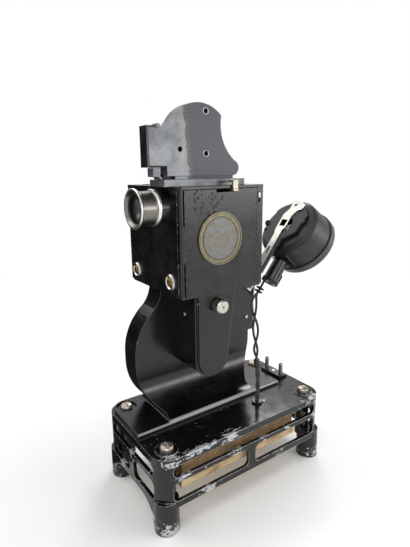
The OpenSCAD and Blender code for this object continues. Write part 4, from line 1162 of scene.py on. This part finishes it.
@dataclass
class LampCord:
    """The lamp's cord: two braided wires twisted together, in open loops above and tight
    below, from the stem of the lamp holder down to the bush in the base."""

    route: tuple[Point, ...] = (
        (9, 37.3, 155.9), (9, 34.8, 152.8), (9.6, 32.6, 148), (10.6, 31.6, 142),
        (11.6, 31.4, 136), (12.8, 31.4, 129), (14, 31, 122), (15, 30.2, 115),
        (16, 29.6, 108), (17.2, 29.4, 101), (18.6, 29.2, 94), (20.2, 28.6, 87),
        (21.8, 27.6, 80), (23, 26.4, 73), (23.5, 25.7, 67), (23.5, 25.5, 63.3),
    )
    guide: Point = (1.0, 0.0, 0.0)
    strand_r: float = 1.05
    loose_r: float = 2.1
    tight_r: float = 1.1
    loose_mm: float = 44.0
    tight_mm: float = 19.0
    tighten_from: float = 0.35
    tighten_over: float = 0.3
    close_rate: float = 9.0
    starts_at: float = 0.6
    steps: int = 280
    sides: int = 14
    tie_at: float = 0.62
    tie_steps: int = 22
    tie_r: float = 2.5
    tie_rise: float = 0.22
    tie_turns: int = 9
    tie_end_r: float = 1.6

    def strand(self, path: np.ndarray, phase: float) -> bpy.types.Object:
        """One wire of the pair.

        Its centre is path + w * (cos p * first + sin p * second). Down the cord, w eases
        from loose_r to tight_r and the length of one turn from loose_mm to tight_mm, from
        share tighten_from of its length and over share tighten_over. p is the sum of the
        turns so far, and both ends are drawn close over a share of 1 / close_rate.

        Args:
            path: The cord's even centreline in millimetres.
            phase: Where the wire starts round the cord, in radians.

        Returns:
            The wire as a closed tube with its own map.
        """
        first, second = frames(path, self.guide)
        way = np.linspace(0, 1, len(path))
        length = np.linalg.norm(np.diff(path, axis=0), axis=1).sum()
        eased = np.clip((way - self.tighten_from) / self.tighten_over, 0, 1)
        eased = eased**2 * (3 - 2 * eased)
        pitch = self.loose_mm + (self.tight_mm - self.loose_mm) * eased
        turn = (phase + 2 * np.pi * np.cumsum(length / len(path) / pitch))[:, None]
        ends = np.minimum(np.minimum(way, 1 - way) * self.close_rate, 1)
        wide = self.loose_r + (self.tight_r - self.loose_r) * eased
        wide = (self.strand_r + (wide - self.strand_r) * np.sin(ends * np.pi / 2))[:, None]
        line = path + wide * (np.cos(turn) * first + np.sin(turn) * second)
        wire = skin("wire", tube(line, self.strand_r, self.guide, self.sides), capped=True)
        loops = np.zeros(len(wire.data.loops), int)
        wire.data.loops.foreach_get("vertex_index", loops)
        around, row = loops % self.sides / self.sides, loops // self.sides
        starts = np.zeros(len(wire.data.polygons), int)
        sizes = np.zeros(len(wire.data.polygons), int)
        wire.data.polygons.foreach_get("loop_start", starts)
        wire.data.polygons.foreach_get("loop_total", sizes)
        face = np.repeat(np.arange(len(starts)), sizes)
        wraps = (np.maximum.reduceat(around, starts) > 0.9)[face] & (around == 0)
        uv = np.stack([np.where(wraps, 1.0, around), row * length / len(line)], -1)
        wire.data.uv_layers.new(name="strand").data.foreach_set("uv", uv.ravel())
        return wire

    def whipping(self, path: np.ndarray) -> bpy.types.Object:
        """Thread wound round both wires: at share s along it the radius is tie_r +
        tie_rise |sin(tie_turns pi s)|, drawn in to tie_end_r at both ends.

        Args:
            path: The cord's even centreline in millimetres.

        Returns:
            The whipping.
        """
        start = int(self.tie_at * len(path))
        part = path[start : start + self.tie_steps]
        share = np.linspace(0, 1, len(part))
        radius = self.tie_r + self.tie_rise * np.abs(np.sin(self.tie_turns * np.pi * share))
        radius[[0, -1]] = self.tie_end_r
        return skin("cord_whipping", tube(part, radius, self.guide, 20), capped=True)

    def build(self, book: FinishBook) -> None:
        """Args:
            book: The finishes to give the pieces.
        """
        path = smooth_path(np.array(self.route, float), self.steps)
        wires = [self.strand(path, self.starts_at + half) for half in (0, math.pi)]
        cord = settle(joined("twisted_cord", wires), book["braid"], None, "cord_cloth", "lamp_cord")
        tie = settle(self.whipping(path), book["moulding"], None, "cord_cloth")
        for piece in (cord, tie):
            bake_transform(piece)


@dataclass
class LensFittings:
    """The blackened linings inside the lens, which make its mouth read as a dark well. Each
    is a closed ring turned about the lens axis from rows of (y, radius)."""

    axis_x: float = 14.0
    axis_z: float = 234.0
    barrel_r: float = 10.02
    tube_r: float = 9.22

    def build(self, book: FinishBook) -> None:
        """Turns the front linings, which move with the barrel, and the tube's lining.

        Args:
            book: The finishes to give the pieces.
        """
        r, tube_r = self.barrel_r, self.tube_r
        rings = (
            ("barrel_lining", Body.FOCUS,
             [(-78.1, r), (-78.1, r - 0.35), (-75.4, r - 0.45), (-75.4, r)]),
            ("barrel_stop", Body.FOCUS, [(-75.3, r), (-75.3, 7.4), (-75.0, 7.2), (-74.9, r)]),
            ("tube_lining", Body.STAND,
             [(-66.0, tube_r), (-66.0, tube_r - 0.3), (-51.4, tube_r - 0.3), (-51.4, tube_r)]),
        )
        for name, body, rows in rings:
            grid = turned(np.array(rows), (self.axis_x, 0, self.axis_z), "y", 72)
            settle(skin(name, grid, closed_v=True), book["inside"], body, "lamp_black")


@dataclass
class MagazineFittings:
    """What sits on and under the film magazine: eyelets round its holes, the folded
    bracket under its front notch, a black bar on the bracket that is painted shadow under
    the notch, and the dark post behind it."""

    near_x: float = 19.25
    eyelets: tuple[tuple[float, float], ...] = ((-23.4, 298.0), (-23.4, 269.9))

    def build(self, book: FinishBook) -> None:
        """Presses the eyelets in and folds the bracket, from outlines in y and z.

        Args:
            book: The finishes to give the pieces.
        """
        profile = np.array([(0, 1.75), (0.35, 1.8), (0.5, 2.1), (0.4, 2.45), (0, 2.6)])
        rings = [skin("eyelet", turned(profile, (self.near_x, y, z), "x", 28))
                 for y, z in self.eyelets]
        settle(joined("magazine_eyelets", rings), book["dull_nickel"], Body.STAND, "nickel")
        leaf = [(-65.4, 254.4), (-61.2, 254.2), (-60.6, 252.7), (-58.6, 252.7), (-58.6, 253.9),
                (-59.9, 254.6), (-59.9, 260.2), (-65.4, 260.2)]
        # Painted shadow: a black bar where the shade under the magazine's front notch falls.
        shadow_bar = [(-65.6, 260.4), (-56.2, 260.4), (-56.2, 262.7), (-65.6, 262.7)]
        post = [(-58.0, 252.7), (-52.6, 252.7), (-52.6, 255.2), (-56.8, 256.2), (-58.0, 256.2)]
        plates = (
            ("notch_bracket", leaf, 10.4, 18.6, 0.25, "seating", "worn_black"),
            ("notch_shadow_bar", shadow_bar, 9.6, 19.0, 0.25, "inside", "lamp_black"),
            ("notch_stop", post, 10.0, 19.0, 0.2, "inside", "lamp_black"),
        )
        for name, outline, low, high, soft, finish, slot in plates:
            grid = plate(outline, "x", low, high, soft)
            piece = skin(name, grid, capped=True, shading=Shading.FLAT)
            settle(piece, book[finish], Body.STAND, slot)


@dataclass
class LampFittings:
    """What is riveted to the lamp house: the saddle where the lamp's tube enters the drum,
    the tube's spring clip, the knob and lug of the black disc, and the holder's screws."""

    axis_x: float = 14.5
    axis_z: float = 234.0
    tube_x: float = 15.0
    tube_y: float = 41.0
    opening_r: float = 5.9
    pad_across: float = 11.6
    pad_front: float = 9.4
    pad_rear: float = 7.5
    drum_r: float = 27.0
    drum_y: float = 30.5
    drum_taper: float = 1.4 / 19.0
    holder_z: float = 185.1
    screws: tuple[tuple[float, float], ...] = ((4.4, 1.5), (0.5, 4.6), (1.5, -4.4))

    def saddle(self) -> bpy.types.Object:
        """A curved pad on the drum's underside, open where the lamp's tube goes through it.

        At angle a round the tube and share s from the opening to the border, a point's plan
        place is the tube's axis plus w (cos a, sin a), where w runs from the opening's radius
        to the oblong's side. It lies under the drum's axis at the drum's radius there plus
        the pad's height, which is 0.9 inside the border, 0.7 near it and -0.3 on it.

        Returns:
            The pad, which swings with the lamp house.
        """
        share = np.array([0.0, 0.3, 0.6, 0.9, 0.94, 0.97, 1.0])
        a, s = np.meshgrid(np.linspace(0, 2 * np.pi, 96, endpoint=False), share)
        least = 1e-6
        side = self.pad_across / np.maximum(np.abs(np.cos(a)), least)
        end = np.where(np.sin(a) > 0, self.pad_rear, self.pad_front)
        end = end / np.maximum(np.abs(np.sin(a)), least)
        w = self.opening_r + s * (np.minimum(side, end) - self.opening_r)
        x, y = self.tube_x + w * np.cos(a), self.tube_y + w * np.sin(a)
        height = np.where(s < 0.96, 0.9, np.where(s < 1.0, 0.7, -0.3))
        r = self.drum_r + (y - self.drum_y) * self.drum_taper + height
        z = self.axis_z - np.sqrt(r**2 - (x - self.axis_x) ** 2)
        return skin("tube_saddle", swung(np.stack([x, y, z], -1)[::-1]), shading=Shading.FLAT)

    def build(self, book: FinishBook) -> None:
        """Rivets the small pieces to the lamp house.

        Args:
            book: The finishes to give the pieces.
        """
        settle(self.saddle(), book["chamber"], Body.LAMP_HOUSE, "lamp_black")
        clip = [(47.7, 185.6), (48.7, 185.6), (48.7, 195.4), (47.2, 197.2), (46.6, 196.4),
                (47.7, 194.8)]
        knob = np.array([(-4.0, 1.7), (-4.2, 2.3), (-5.0, 2.7), (-6.6, 2.7), (-7.3, 2.2),
                         (-7.5, 0.6)])
        lug = np.array([(-1.5, 1.4), (-4.6, 1.4), (-5.4, 0.9), (-5.5, 0.2)])
        parts = (
            ("tube_clip", plate(clip, "x", 14.6, 18.4, 0.2), Shading.FLAT),
            ("disc_knob", turned(knob, (0, 24.4, 233), "x", 24), Shading.SMOOTH),
            ("disc_lug", turned(lug, (0, 24.4, 226.5), "x", 20), Shading.SMOOTH),
        )
        for name, grid, shading in parts:
            piece = skin(name, swung(grid), capped=True, shading=shading)
            settle(piece, book["inside"], Body.LAMP_HOUSE, "lamp_black")
        places = [(self.tube_x + dx, self.tube_y + dy, self.holder_z) for dx, dy in self.screws]
        heads = [skin("screw", swung(slotted_head(place, "z", 1.3, 1.0, -1)), capped=True)
                 for place in places]
        settle(joined("holder_screws", heads), book["nickel"], Body.LAMP, "nickel")


@dataclass
class SmallScrews:
    """Small slotted screws on the base, the film chamber and the lid: each a name, the
    middle of its seat, its axis, its radius, its height and the way it looks."""

    places: tuple[tuple[str, Point, str, float, float, int], ...] = (
        ("bush_screw", (25.3, 31.6, 61.5), "z", 1.7, 0.9, 1),
        ("chamber_screw", (3.6, -34.0, 149.3), "y", 1.3, 0.8, -1),
        ("lid_screw_front", (-30.0, -46.0, 248.0), "z", 2.2, 1.2, 1),
        ("lid_screw_rear", (-30.0, 11.0, 248.0), "z", 2.2, 1.2, 1),
        ("plinth_screw", (-8.3, 76.0, 64.0), "z", 1.8, 0.8, 1),
    )

    def build(self, book: FinishBook) -> None:
        """Drives each screw home on the stand.

        Args:
            book: The finishes to give the pieces.
        """
        for name, place, axis, radius, height, facing in self.places:
            head = skin(name, slotted_head(place, axis, radius, height, facing), capped=True)
            settle(head, book["nickel"], Body.STAND, "nickel")


def main() -> None:
    """Loads the solids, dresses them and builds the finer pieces."""
    logging.basicConfig(level=logging.INFO, format="%(name)s: %(message)s")
    bpy.ops.object.select_all(action="SELECT")
    bpy.ops.object.delete()
    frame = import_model()
    Studio().build()
    book = FinishBook()
    book.dress(frame["nodes"])
    for part in (LampCord(), LensFittings(), MagazineFittings(), LampFittings(), SmallScrews()):
        part.build(book)


if __name__ == "__main__":
    main()
